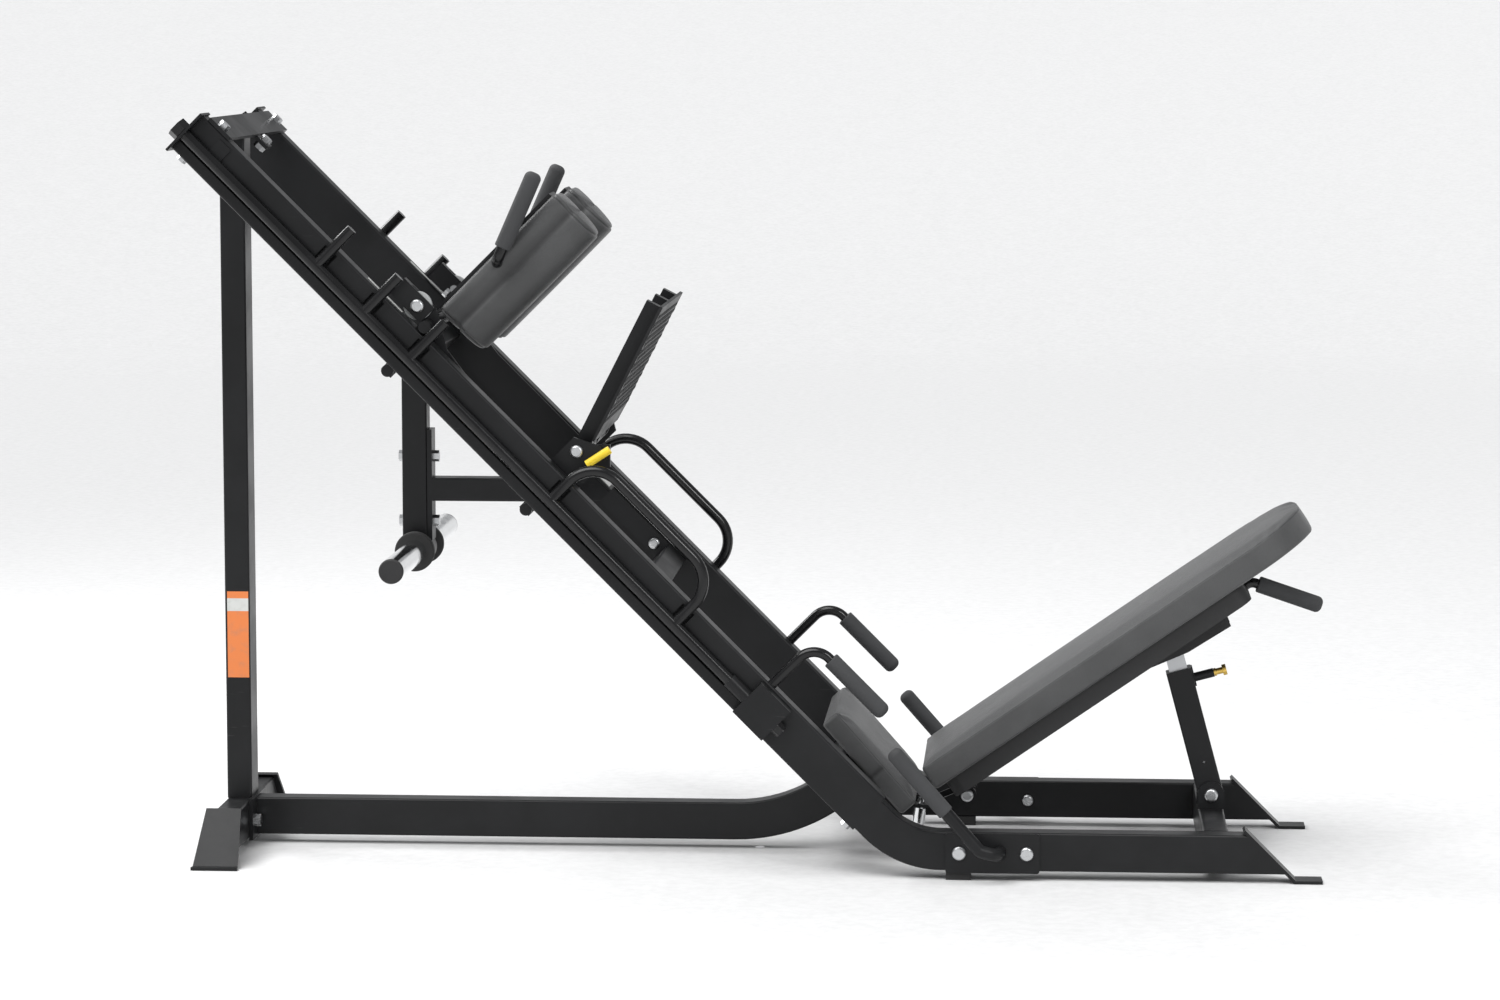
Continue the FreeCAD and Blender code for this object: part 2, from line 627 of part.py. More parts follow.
def carriage_deck():
    """Bent bracket that stands on the middle cross tube."""
    top = box(-812, -728, -DECK_HALF, DECK_HALF, DECK_V - 5, DECK_V)
    legs = [side_box(-812, -728, side, DECK_HALF - 5, DECK_HALF, 48, DECK_V - 5) for side in (RIGHT, LEFT)]
    bracket = fused([eased(top, X_AXIS, 2.0)] + legs)
    return on_rail(bracket.cut(box(-830, -775, -SIDE_IN, SIDE_IN, 0, 59)))


def carriage_label():
    """Blank label on the bracket."""
    return on_rail(box(-774, -735, -52, 52, DECK_V, DECK_V + 0.8))


def stop_bar():
    """Bar across the carriage that rests on the stop pegs."""
    return on_rail(bar_y(STOP_U, STOP_V, -STOP_HALF, STOP_HALF, STOP_R))


def top_roller(side):
    """Bearing roller on the rail's top face."""
    low, high = sorted((side * 263, side * 273))
    wheel = on_rail(bar_y(ROLLER_U, ROLLER_V, low, high, ROLLER_R))
    return wheel.cut(on_rail(bar_y(ROLLER_U, ROLLER_V, low - 1, high + 1, AXLE_BORE_R)))


def carriage_bolts():
    """Roller axles, foot-plate hinge bolts and the carriage's visible bolt heads."""
    items = []
    for side in (RIGHT, LEFT):
        out = V(0, side, 0)
        low, high = sorted((side * SIDE_IN, side * 280))
        items.append(on_rail(bar_y(ROLLER_U, ROLLER_V, low, high, AXLE_R)))
        items.append(button_head(rail_point(ROLLER_U, side * 280, ROLLER_V), out, 13.5))
        low, high = sorted((side * 226, side * SIDE_OUT))
        items.append(bar_y(FOOT_HINGE.x, FOOT_HINGE.z, low, high, AXLE_R))
        items.append(button_head(V(FOOT_HINGE.x, side * SIDE_OUT, FOOT_HINGE.z), out, 13))
        items.append(button_head(rail_point(-584, side * SIDE_IN, 38), -out, 12))
        items.append(hex_head(rail_point(-1231, side * 165, 160), V(-1, 0, 1), 16, 8))
    for z in (794.5, 663.0):
        items.append(hex_head(V(COLUMN_X0, 0, z), V(-1, 0, 0), 20, 9))
        items.append(hex_head(V(COLUMN_X1 + 10, 0, z), V(1, 0, 0), 20, 12))
    return Part.Compound(items)


def weight_column():
    """Tube that hangs from the carriage and carries the weight horns."""
    half = TUBE_W / 2
    tube = box(COLUMN_X0, COLUMN_X1, -half, half, 585, 1060)
    hollow = box(COLUMN_X0 + WALL, COLUMN_X1 - WALL, -half + WALL, half - WALL, 580, 1100)
    plate = box(COLUMN_X1, COLUMN_X1 + 10, -half, half, 625, 850)
    above = on_rail(box(-2000, 0, -100, 100, 19, 300))
    boss = bar_y(HORN_X, HORN_Z, -half, half, 32)
    core = bar_y(HORN_X, HORN_Z, -100, 100, HORN_CORE_R)
    return fused([eased(tube, Z_AXIS, 4.0).cut(hollow), plate, boss]).cut(above).cut(core)


def weight_arm():
    """Level tube from the column to the carriage's lower cross tube."""
    half = TUBE_W / 2
    tube = box(COLUMN_X1 + 10, -340, -half, half, 705, 752)
    hollow = box(COLUMN_X1 + 5, -330, -half + WALL, half - WALL, 705 + WALL, 752 - WALL)
    above = on_rail(box(-2000, 0, -100, 100, 19, 300))
    return eased(tube, X_AXIS, 4.0).cut(hollow).cut(above)


def weight_horn():
    """Chrome plate-loading shaft through the foot of the column."""
    parts = [bar_y(HORN_X, HORN_Z, -DISC_OUT, DISC_OUT, HORN_CORE_R)]
    for side in (RIGHT, LEFT):
        low, high = sorted((side * DISC_OUT, side * HORN_TIP))
        parts.append(bar_y(HORN_X, HORN_Z, low, high, HORN_R))
    return fused(parts)


def horn_caps():
    """Plastic caps on the horn's ends."""
    caps = []
    for side in (RIGHT, LEFT):
        low, high = sorted((side * HORN_TIP, side * (HORN_TIP + 7)))
        cap = bar_y(HORN_X, HORN_Z, low, high, HORN_R)
        rim = [e for e in cap.Edges if len(e.Vertexes) == 1 and abs(e.CenterOfMass.y) > HORN_TIP + 1]
        caps.append(cap.makeFillet(4.0, rim))
    return Part.Compound(caps)


def bumper_discs():
    """Rubber discs that plates rest against."""
    discs = []
    for side in (RIGHT, LEFT):
        low, high = sorted((side * DISC_IN, side * DISC_OUT))
        disc = bar_y(HORN_X, HORN_Z, low, high, 40)
        rims = [e for e in disc.Edges if len(e.Vertexes) == 1]
        disc = disc.makeFillet(4.0, [e for e in rims if e.Length > 200])
        discs.append(disc.cut(bar_y(HORN_X, HORN_Z, low - 1, high + 1, HORN_CORE_R)))
    return Part.Compound(discs)


# ---------------------------------------------------------------- shoulder pads
def shoulder_board(side):
    """Steel board behind one shoulder pad, standing on the stop bar."""
    board = side_box(PAD_BACK_U - 6, PAD_BACK_U, side, 96, 184, STOP_V - 12, 446)
    return on_rail(board)


def shoulder_pad(side):
    """D-section shoulder pad."""
    mid = 0.5 * (PAD_IN + PAD_OUT)
    half = 0.5 * (PAD_OUT - PAD_IN)
    p = [V(PAD_BACK_U, side * (mid - half), PAD_LOW_V), V(PAD_FLAT_U, side * (mid - half), PAD_LOW_V),
         V(PAD_FRONT_U, side * mid, PAD_LOW_V),
         V(PAD_FLAT_U, side * (mid + half), PAD_LOW_V), V(PAD_BACK_U, side * (mid + half), PAD_LOW_V)]
    edges = [Part.LineSegment(p[0], p[1]).toShape(), Part.Arc(p[1], p[2], p[3]).toShape(),
             Part.LineSegment(p[3], p[4]).toShape(), Part.LineSegment(p[4], p[0]).toShape()]
    pad = on_rail(Part.Face(Part.Wire(edges)).extrude(V(0, 0, PAD_HIGH_V - PAD_LOW_V)))
    return pad.cut(shoulder_handle(side))


def shoulder_handle_path(side):
    """Corner points of a shoulder handle, from the board to the grip's tip."""
    y = side * PAD_GRIP_Y
    return [rail_point(PAD_BACK_U, side * 150, 278), rail_point(-1204, side * 150, 278),
            rail_point(-1204, y, 278), V(-431.2, y, 1366.1)]


def shoulder_handle(side):
    """Handle bent out of the board, through the pad's edge, and up to its grip."""
    return bent_rod(shoulder_handle_path(side), 11.0, [13, 22])


def shoulder_grip(side):
    """Foam sleeve of a shoulder handle."""
    return grip(shoulder_handle_path(side), 152, 16.8, 11.0)


# ---------------------------------------------------------------- foot plate
def foot_frame():
    """Ladder frame behind the tread with its hinge tube."""
    parts = []
    for y in (-200, -15, 170):
        parts.append(box(0, 322, y, y + 30, -16, 14.6))
    parts.append(box(200, 226, -200, 200, -16, -6))
    parts.append(box(60, 86, -200, 200, -16, 14.6))
    tube = bar_y(0, 0, -238, 238, 15)
    frame = fused(parts + [tube])
    return on_foot(frame.cut(bar_y(0, 0, -240, 240, AXLE_BORE_R)))


def foot_tread():
    """Tread plate with its lower edge bent back."""
    outline = [(327, -22), (327, -16), (66, -16), (30, -16.1), (30, -21), (66, -22)]
    return on_foot(prism(outline, -TREAD_HALF, TREAD_HALF))


def foot_pin():
    """Pull pin with a T-handle beside the hinge."""
    mid = V(FOOT_PIN.x, -276, FOOT_PIN.z)
    half = V(math.cos(math.radians(33)), 0, math.sin(math.radians(33))) * 27
    bar = rod(mid - half, mid + half, 8)
    stem = bar_y(FOOT_PIN.x, FOOT_PIN.z, -276, -240, 6)
    return fused([bar, stem])


def foot_pin_block():
    """Housing of the pull pin inside the carriage's hinge ear."""
    block = box(FOOT_PIN.x - 21, FOOT_PIN.x + 21, -254, -241, FOOT_PIN.z - 22, FOOT_PIN.z + 22)
    return block.cut(bar_y(FOOT_PIN.x, FOOT_PIN.z, -260, -230, 6.05))


# ---------------------------------------------------------------- back pad and strut
def back_pad():
    """Padded back rest."""
    pad = box(0, BACK_LENGTH, -BACK_HALF, BACK_HALF, 0, BACK_THICK + 8)
    corners = [e for e in pad.Edges if e.CenterOfMass.x > BACK_LENGTH - 1
               and abs(e.Length - BACK_THICK - 8) < 0.1]
    return on_back(pad.makeFillet(BACK_CORNER_R, corners))


def back_board():
    """Board under the back pad with its hinge lugs and the strut's bracket."""
    board = box(20, 728, -BOARD_HALF, BOARD_HALF, -BOARD_THICK, 0)
    ends = [e for e in board.Edges if abs(e.Length - BOARD_THICK) < 0.01]
    board = board.makeFillet(28, ends)
    tray = box(34, 714, -BOARD_HALF + 14, BOARD_HALF - 14, -BOARD_THICK - 1, -8)
    board = board.cut(tray)
    spine = box(34, 714, -32, 32, -BOARD_THICK, -8)
    parts = [board, spine]
    turn = FreeCAD.Rotation(Y_AXIS, BACK_ANGLE)
    hinge = turn.multVec(BACK_HINGE - BACK_ORIGIN)
    hinge_x = hinge.x
    hinge_z = hinge.z
    for side in (RIGHT, LEFT):
        parts.append(side_box(12, 52, side, 28, 36, hinge_z + 4, -8))
        low, high = sorted((side * 28, side * 36))
        parts.append(bar_y(hinge_x, hinge_z, low, high, 17))
        wedge = [(398, -BOARD_THICK), (668, -BOARD_THICK), (660, -74), (560, -70)]
        parts.append(side_prism(wedge, side, 26.5, 32))
    body = fused(parts).cut(bar_y(hinge_x, hinge_z, -60, 60, AXLE_BORE_R))
    well = box(500, 600, -26.4, 26.4, -BOARD_THICK - 1, -14)
    return on_back(body.cut(well))


def pad_handle_path():
    """Corner points of the back rest's lifting handle, from the board's end to the grip's tip."""
    return [V(975.37, 0, 544.05), V(986.88, 0, 552.02), V(1120.2, 0, 507.1)]


def pad_handle():
    """Handle that leaves the board's upper end and slopes down."""
    return bent_rod(pad_handle_path(), 10.0, [20])


def pad_grip():
    """Foam sleeve of the lifting handle."""
    return grip(pad_handle_path(), 126, 16.5, 10.0)


def strut_outer():
    """Outer strut tube with the barrel of its pull pin."""
    half = TUBE_W / 2
    tube = box(-half, half, -half, half, -20, STRUT_OUTER)
    hollow = box(-18.6, 18.6, -18.6, 18.6, 18, STRUT_OUTER + 1)
    eye = bar_y(0, 0, -half, half, half)
    tube = eased(tube, Z_AXIS, 4.0)
    body = tube.cut(box(-half - 1, half + 1, -half - 1, half + 1, -21, 0)).fuse(eye)
    body = body.cut(hollow)
    body = body.cut(bar_y(0, 0, -40, 40, AXLE_BORE_R))
    barrel = Part.makeCylinder(9, 42, V(half, 0, STRUT_OUTER - 24), V(1, 0, 0))
    gusset = box(half, half + 3, -14, 14, STRUT_OUTER - 40, STRUT_OUTER)
    body = fused([body, barrel, gusset])
    bore = Part.makeCylinder(5.05, 60, V(half - 7, 0, STRUT_OUTER - 24), X_AXIS)
    hole = Part.makeCylinder(2.5, 12, V(3, -half - 1, 67), Y_AXIS)
    return on_strut(body.cut(bore).cut(hole))


def strut_inner():
    """Inner strut tube with its eye at the back pad's bracket."""
    top = (STRUT_TOP - STRUT_BASE).Length
    tube = box(-18.5, 18.5, -18.5, 18.5, 43, top - 4)
    hollow = box(-15.5, 15.5, -15.5, 15.5, 42, top - 30)
    eye = bar_y(0, top, -18.5, 18.5, 18.5)
    return on_strut(fused([tube.cut(hollow), eye]).cut(bar_y(0, top, -30, 30, 11)))


def strut_pin():
    """Pull pin of the strut with its round knob."""
    half = TUBE_W / 2
    z = STRUT_OUTER - 24
    pin = Part.makeCylinder(5, 50, V(half - 5, 0, z), V(1, 0, 0))
    collar = Part.makeCylinder(8, 5, V(half + 42.2, 0, z), V(1, 0, 0))
    stem = Part.makeCylinder(6.5, 16, V(half + 47, 0, z), V(1, 0, 0))
    knob = Part.makeCylinder(11, 8, V(half + 60, 0, z), V(1, 0, 0))
    return on_strut(fused([pin, collar, stem, knob]))


# ---------------------------------------------------------------- build
export("rear_base", rear_base())
export("upright_post", upright_post())
export("base_beam", base_beam())
export("top_crossmember", top_crossmember())
export("lower_crossmember", lower_crossmember())
export("strut_crossmember", strut_crossmember())
export("runner_pads", runner_pads())
export("frame_labels", frame_labels())
export("frame_bolts", frame_bolts())
export("back_hinge_arm", back_hinge_arm())
export("seat_bracket", seat_bracket())
export("seat_pad", seat_pad())
export("seat_pin", seat_pin())
export("side_grips", Part.Compound([side_grip(RIGHT), side_grip(LEFT)]))
export("rail_grips", Part.Compound([rail_grip(RIGHT), rail_grip(LEFT)]))
export("carriage_cross", carriage_cross())
export("carriage_deck", carriage_deck())
export("carriage_label", carriage_label())
export("carriage_bolts", carriage_bolts())
export("stop_bar", stop_bar())
export("weight_column", weight_column())
export("weight_arm", weight_arm())
export("weight_horn", weight_horn())
export("horn_caps", horn_caps())
export("bumper_discs", bumper_discs())
export("shoulder_grips", Part.Compound([shoulder_grip(RIGHT), shoulder_grip(LEFT)]))
export("foot_frame", foot_frame())
export("foot_tread", foot_tread())
export("foot_pin", foot_pin())
export("foot_pin_block", foot_pin_block())
export("back_pad", back_pad())
export("back_board", back_board())
export("pad_handle", pad_handle())
export("pad_grip", pad_grip())
export("strut_outer", strut_outer())
export("strut_inner", strut_inner())
export("strut_pin", strut_pin())
for name, side in (("right", RIGHT), ("left", LEFT)):
    export("rail_" + name, rail(side))
    export("lower_rail_" + name, lower_rail(side))
    export("runner_" + name, runner(side))
    export("side_handle_" + name, side_handle(side))
    export("rail_handle_" + name, rail_handle(side))
    export("lock_rod_" + name, lock_rod(side))
    export("carriage_side_" + name, carriage_side(side))
    export("top_roller_" + name, top_roller(side))
    export("shoulder_board_" + name, shoulder_board(side))
    export("shoulder_pad_" + name, shoulder_pad(side))
    export("shoulder_handle_" + name, shoulder_handle(side))
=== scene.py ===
"""Scene for a 45-degree leg press and hack squat machine.

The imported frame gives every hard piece. This file adds the upholstered pads,
the tread's raised pattern, the finishes, the light and the camera.
"""

import json
import logging
import math
from dataclasses import dataclass
from enum import Enum

import bpy
import numpy as np
from mathutils import Matrix, Vector

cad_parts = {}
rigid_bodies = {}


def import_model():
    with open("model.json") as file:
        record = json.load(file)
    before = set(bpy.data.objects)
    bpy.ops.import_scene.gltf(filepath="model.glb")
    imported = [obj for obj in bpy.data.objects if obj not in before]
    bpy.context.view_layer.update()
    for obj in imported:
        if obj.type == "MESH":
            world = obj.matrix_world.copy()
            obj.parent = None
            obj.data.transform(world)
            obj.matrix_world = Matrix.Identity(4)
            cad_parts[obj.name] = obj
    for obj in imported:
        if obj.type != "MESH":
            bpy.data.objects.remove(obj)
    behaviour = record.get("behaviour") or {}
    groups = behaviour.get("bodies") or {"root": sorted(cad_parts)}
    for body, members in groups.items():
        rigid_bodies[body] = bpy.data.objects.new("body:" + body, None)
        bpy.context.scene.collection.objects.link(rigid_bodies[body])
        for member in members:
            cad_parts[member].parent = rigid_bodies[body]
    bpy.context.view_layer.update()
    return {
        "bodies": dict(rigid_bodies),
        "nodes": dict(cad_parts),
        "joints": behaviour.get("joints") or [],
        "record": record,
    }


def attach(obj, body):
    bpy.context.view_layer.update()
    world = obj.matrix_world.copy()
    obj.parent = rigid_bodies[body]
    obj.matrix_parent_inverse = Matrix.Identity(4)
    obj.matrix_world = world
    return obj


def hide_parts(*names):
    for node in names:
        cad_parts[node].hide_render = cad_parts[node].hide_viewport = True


LOG = logging.getLogger("machine")
Colour = tuple[float, float, float]
Place = tuple[float, float, float]
Feed = bpy.types.NodeSocket | float | tuple[float, ...]

MIX_FACTOR, MIX_FIRST, MIX_SECOND, MIX_COLOUR_OUT = 0, 6, 7, 2
EDGE_POINTS = 5
SEAM_BELOW_TOP = 4
STUFFING_FRAMES = 18
TINY = 1e-9
CLOTH_SETTINGS = {
    "quality": 6, "mass": 0.3, "tension_stiffness": 12.0, "compression_stiffness": 12.0,
    "shear_stiffness": 6.0, "bending_stiffness": 0.6, "use_pressure": True,
}


# ------------------------------------------------------------------ node trees
class Tree:
    """A thin wrapper that makes shader node trees short to write."""

    def __init__(self, tree: bpy.types.NodeTree) -> None:
        """Keeps the tree.

        Args:
            tree: the node tree to fill.
        """
        self.tree = tree

    def add(self, kind: str, values: dict[str | int, Feed] | None = None,
            **settings: object) -> bpy.types.Node:
        """Adds one node.

        Args:
            kind: the node's Blender type name.
            values: socket names with the numbers or sockets that feed them.
            settings: the node's own properties.

        Returns:
            The new node.
        """
        node = self.tree.nodes.new(kind)
        for key, value in settings.items():
            setattr(node, key, value)
        for key, value in (values or {}).items():
            self.feed(node.inputs[key], value)
        return node

    def feed(self, socket: bpy.types.NodeSocket, value: Feed) -> None:
        """Links a socket to an input, or writes a constant on it.

        Args:
            socket: the input to fill.
            value: the output that feeds it, or the constant.
        """
        if isinstance(value, bpy.types.NodeSocket):
            self.tree.links.new(value, socket)
        else:
            socket.default_value = value

    def place(self) -> bpy.types.NodeSocket:
        """Adds Object coordinates and returns them."""
        return self.add("ShaderNodeTexCoord").outputs["Object"]

    def effect(self, group: bpy.types.NodeTree, **inputs: float) -> bpy.types.Node:
        """Adds a shared effect and sets its inputs.

        Args:
            group: the effect's node group.
            inputs: the group's inputs by name.

        Returns:
            The group node.
        """
        node = self.add("ShaderNodeGroup", node_tree=group)
        for key, value in inputs.items():
            node.inputs[key].default_value = value
        return node

    def scaled(self, value: Feed, gain: float, offset: float) -> bpy.types.NodeSocket:
        """Multiplies a value by gain, adds offset and returns the result."""
        node = self.add("ShaderNodeMath", {0: value, 1: gain, 2: offset}, operation="MULTIPLY_ADD")
        return node.outputs[0]

    def math(self, operation: str, a: Feed, b: Feed = 0.0,
             clamp: bool = False) -> bpy.types.NodeSocket:
        """Adds a Math node and returns its result."""
        node = self.add("ShaderNodeMath", {0: a, 1: b}, operation=operation, use_clamp=clamp)
        return node.outputs[0]

    def mix(self, factor: Feed, a: Feed, b: Feed) -> bpy.types.NodeSocket:
        """Mixes two colours.

        Args:
            factor: 0 for the first colour, 1 for the second.
            a: the first colour.
            b: the second colour.

        Returns:
            The mixed colour.
        """
        node = self.add("ShaderNodeMix", data_type="RGBA")
        self.feed(node.inputs[MIX_FACTOR], factor)
        self.feed(node.inputs[MIX_FIRST], a)
        self.feed(node.inputs[MIX_SECOND], b)
        return node.outputs[MIX_COLOUR_OUT]

    def ramp(self, factor: Feed, low: float, high: float) -> bpy.types.NodeSocket:
        """Turns a value between two limits into 0 to 1, eased at both ends.

        Args:
            factor: the value.
            low: the value that gives 0.
            high: the value that gives 1.

        Returns:
            The eased value.
        """
        limits = {"Value": factor, "From Min": low, "From Max": high}
        node = self.add("ShaderNodeMapRange", limits, interpolation_type="SMOOTHSTEP")
        return node.outputs["Result"]

    def noise(self, scale: float, detail: float = 2.0, rough: float = 0.5) -> bpy.types.NodeSocket:
        """Adds noise on Object coordinates and returns its value."""
        node = self.add("ShaderNodeTexNoise", {"Vector": self.place(), "Scale": scale, "Detail": detail,
                                               "Roughness": rough})
        return node.outputs["Fac"]


class Effects:
    """Shader groups that several finishes share, each built once."""

    _made: dict[str, bpy.types.NodeTree] = {}

    @classmethod
    def group(cls, name: str, inputs: dict[str, float], outputs: list[str]) -> tuple[Tree, bool]:
        """Opens a group by name.

        Args:
            name: the group's name.
            inputs: its inputs and their defaults.
            outputs: its outputs.

        Returns:
            The tree and whether it still has to be filled.
        """
        if name in cls._made:
            return Tree(cls._made[name]), False
        tree = bpy.data.node_groups.new(name, "ShaderNodeTree")
        for key, value in inputs.items():
            socket = tree.interface.new_socket(key, in_out="INPUT", socket_type="NodeSocketFloat")
            socket.default_value = value
        for key in outputs:
            tree.interface.new_socket(key, in_out="OUTPUT", socket_type="NodeSocketFloat")
        cls._made[name] = tree
        return Tree(tree), True

    @classmethod
    def orange_peel(cls) -> bpy.types.NodeTree:
        """Fine ripple of a sprayed or powder coat: two noises, height and blotch.

        Returns:
            The node group.
        """
        tree, fresh = cls.group("orange_peel", {"Scale": 600.0}, ["Height", "Blotch"])
        if fresh:
            start = tree.add("NodeGroupInput")
            end = tree.add("NodeGroupOutput")
            place = tree.place()
            ripple = tree.add("ShaderNodeTexNoise", {"Vector": place, "Scale": start.outputs["Scale"],
                                                     "Detail": 2.0})
            blotch = tree.add("ShaderNodeTexNoise", {"Vector": place, "Scale": 7.0, "Detail": 5.0,
                                                     "Roughness": 0.6})
            tree.feed(end.inputs["Height"], ripple.outputs["Fac"])
            tree.feed(end.inputs["Blotch"], tree.ramp(blotch.outputs["Fac"], 0.35, 0.68))
        return tree.tree

    @classmethod
    def settled_dust(cls) -> bpy.types.NodeTree:
        """Thin dust on faces that look up, broken by noise.

        Returns:
            The node group.
        """
        tree, fresh = cls.group("settled_dust", {"Amount": 0.3}, ["Mask"])
        if fresh:
            start = tree.add("NodeGroupInput")
            end = tree.add("NodeGroupOutput")
            normal = tree.add("ShaderNodeNewGeometry").outputs["Normal"]
            up = tree.add("ShaderNodeSeparateXYZ", {0: normal}).outputs["Z"]
            facing = tree.ramp(up, 0.35, 1.0)
            broken = tree.ramp(tree.noise(38.0, 4.0, 0.65), 0.3, 0.75)
            mask = tree.math("MULTIPLY", facing, broken)
            tree.feed(end.inputs["Mask"], tree.math("MULTIPLY", mask, start.outputs["Amount"]))
        return tree.tree

    @classmethod
    def scuffs(cls) -> bpy.types.NodeTree:
        """Short scratches: noise stretched along X, kept where a coarse noise is high.

        Returns:
            The node group.
        """
        tree, fresh = cls.group("scuffs", {"Amount": 0.3}, ["Mask"])
        if fresh:
            start = tree.add("NodeGroupInput")
            end = tree.add("NodeGroupOutput")
            place = tree.place()
            turned = tree.add("ShaderNodeMapping", {"Vector": place, "Rotation": (0.4, 0.7, 0.3),
                                                    "Scale": (18.0, 260.0, 260.0)})
            lines = tree.add("ShaderNodeTexNoise", {"Vector": turned.outputs[0], "Scale": 1.0,
                                                    "Detail": 3.0})
            thin = tree.ramp(lines.outputs["Fac"], 0.66, 0.74)
            patch = tree.ramp(tree.noise(5.0, 3.0), 0.55, 0.72)
            mask = tree.math("MULTIPLY", thin, patch)
            tree.feed(end.inputs["Mask"], tree.math("MULTIPLY", mask, start.outputs["Amount"]))
        return tree.tree

    @classmethod
    def hide_grain(cls) -> bpy.types.NodeTree:
        """Embossed vinyl grain: distance to the edges of small cells, softened by noise, and a painted
        shade mask for the valleys between cells.

        Returns:
            The node group.
        """
        tree, fresh = cls.group("hide_grain", {"Scale": 520.0}, ["Height", "ValleyShade"])
        if fresh:
            start = tree.add("NodeGroupInput")
            end = tree.add("NodeGroupOutput")
            place = tree.place()
            wanted = {"Vector": place, "Scale": start.outputs["Scale"]}
            cells = tree.add("ShaderNodeTexVoronoi", wanted, feature="DISTANCE_TO_EDGE")
            height = tree.ramp(cells.outputs["Distance"], 0.0, 0.22)
            soft = tree.noise(60.0, 3.0)
            gentle = tree.math("MULTIPLY", height, tree.ramp(soft, 0.2, 0.6))
            tree.feed(end.inputs["Height"], gentle)
            # Painted shade mask: high in the valleys between cells.
            tree.feed(end.inputs["ValleyShade"], tree.math("SUBTRACT", 1.0, height))
        return tree.tree


# ------------------------------------------------------------------ finishes
@dataclass(frozen=True)
class Finish:
    """Base of every finish: a name, a base colour and a roughness."""

    name: str
    colour: Colour
    roughness: float

    def material(self) -> bpy.types.Material:
        """Gives the finish's material, built on first use.

        Returns:
            The material.
        """
        found = bpy.data.materials.get(self.name)
        if found:
            return found
        made = bpy.data.materials.new(self.name)
        made.use_nodes = True
        made.node_tree.nodes.clear()
        tree = Tree(made.node_tree)
        shader = tree.add("ShaderNodeBsdfPrincipled")
        end = tree.add("ShaderNodeOutputMaterial")
        made.node_tree.links.new(shader.outputs[0], end.inputs[0])
        shader.inputs["Base Color"].default_value = (*self.colour, 1.0)
        shader.inputs["Roughness"].default_value = self.roughness
        self.dress(tree, shader)
        return made

    def toned(self, factor: float) -> tuple[float, float, float, float]:
        """The finish's colour times a factor, with full alpha."""
        return (*(factor * c for c in self.colour), 1.0)

    def dress(self, tree: Tree, shader: bpy.types.Node) -> None:
        """Adds the finish's detail to the tree."""

    def bump(self, tree: Tree, shader: bpy.types.Node, height: Feed, strength: float,
             depth: float) -> None:
        """Feeds a height into the shader's normal."""
        node = tree.add("ShaderNodeBump", {"Height": height, "Strength": strength, "Distance": depth})
        tree.feed(shader.inputs["Normal"], node.outputs[0])


@dataclass(frozen=True)
class Paint(Finish):
    """Sprayed or powder coat on steel, with ripple, dust and scuffs."""

    ripple: float = 0.12
    dust: float = 0.35
    scuff: float = 0.35
    shine: float = 0.3

    def dress(self, tree: Tree, shader: bpy.types.Node) -> None:
        """Ripple in the normal, blotches in the gloss, dust and scuffs in the colour.

        Args:
            tree: the material's tree.
            shader: its main shader.
        """
        peel = tree.effect(Effects.orange_peel())
        shader.inputs["Specular IOR Level"].default_value = self.shine
        dust = tree.effect(Effects.settled_dust(), Amount=self.dust)
        scuff = tree.effect(Effects.scuffs(), Amount=self.scuff)
        base = tree.mix(peel.outputs["Blotch"], self.toned(0.82), self.toned(1.25))
        dusty = tree.mix(dust.outputs["Mask"], base, (0.16, 0.16, 0.155, 1.0))
        worn = tree.mix(scuff.outputs["Mask"], dusty, (0.11, 0.11, 0.11, 1.0))
        tree.feed(shader.inputs["Base Color"], worn)
        spread = tree.scaled(peel.outputs["Blotch"], 0.10, self.roughness - 0.05)
        gloss = tree.math("ADD", spread, tree.math("MULTIPLY", dust.outputs["Mask"], 0.4), True)
        tree.feed(shader.inputs["Roughness"], gloss)
        self.bump(tree, shader, peel.outputs["Height"], self.ripple, 0.0004)


@dataclass(frozen=True)
class Vinyl(Finish):
    """Upholstery vinyl with an embossed grain, painted shade in its valleys and painted shade along its
    seams.
    """

    grain: float = 0.35
    size: float = 520.0

    def dress(self, tree: Tree, shader: bpy.types.Node) -> None:
        """Grain in the normal; mottling, painted shade in the grain's valleys and painted shade along
        the seams in the colour.

        Args:
            tree: the material's tree.
            shader: its main shader.
        """
        grain = tree.effect(Effects.hide_grain(), Scale=self.size)
        seam = tree.add("ShaderNodeAttribute", attribute_name="seam").outputs["Fac"]
        mottle = tree.ramp(tree.noise(9.0, 4.0, 0.6), 0.3, 0.7)
        base = tree.mix(mottle, self.toned(0.86), self.toned(1.12))
        # Painted shade in the grain's valleys: they are pulled towards half the colour.
        valley_shade = tree.math("MULTIPLY", grain.outputs["ValleyShade"], 0.35)
        valley_shaded = tree.mix(valley_shade, base, self.toned(0.5))
        # Painted shade along the sunk seams: the seam attribute pulls the colour towards near black.
        seam_shaded = tree.mix(tree.math("MULTIPLY", seam, 0.75), valley_shaded, (0.012, 0.012, 0.013, 1.0))
        tree.feed(shader.inputs["Base Color"], seam_shaded)
        tree.feed(shader.inputs["Roughness"], tree.scaled(mottle, 0.09, self.roughness - 0.04))
        shader.inputs["Sheen Weight"].default_value = 0.12
        shader.inputs["Sheen Roughness"].default_value = 0.5
        self.bump(tree, shader, grain.outputs["Height"], self.grain, 0.0005)


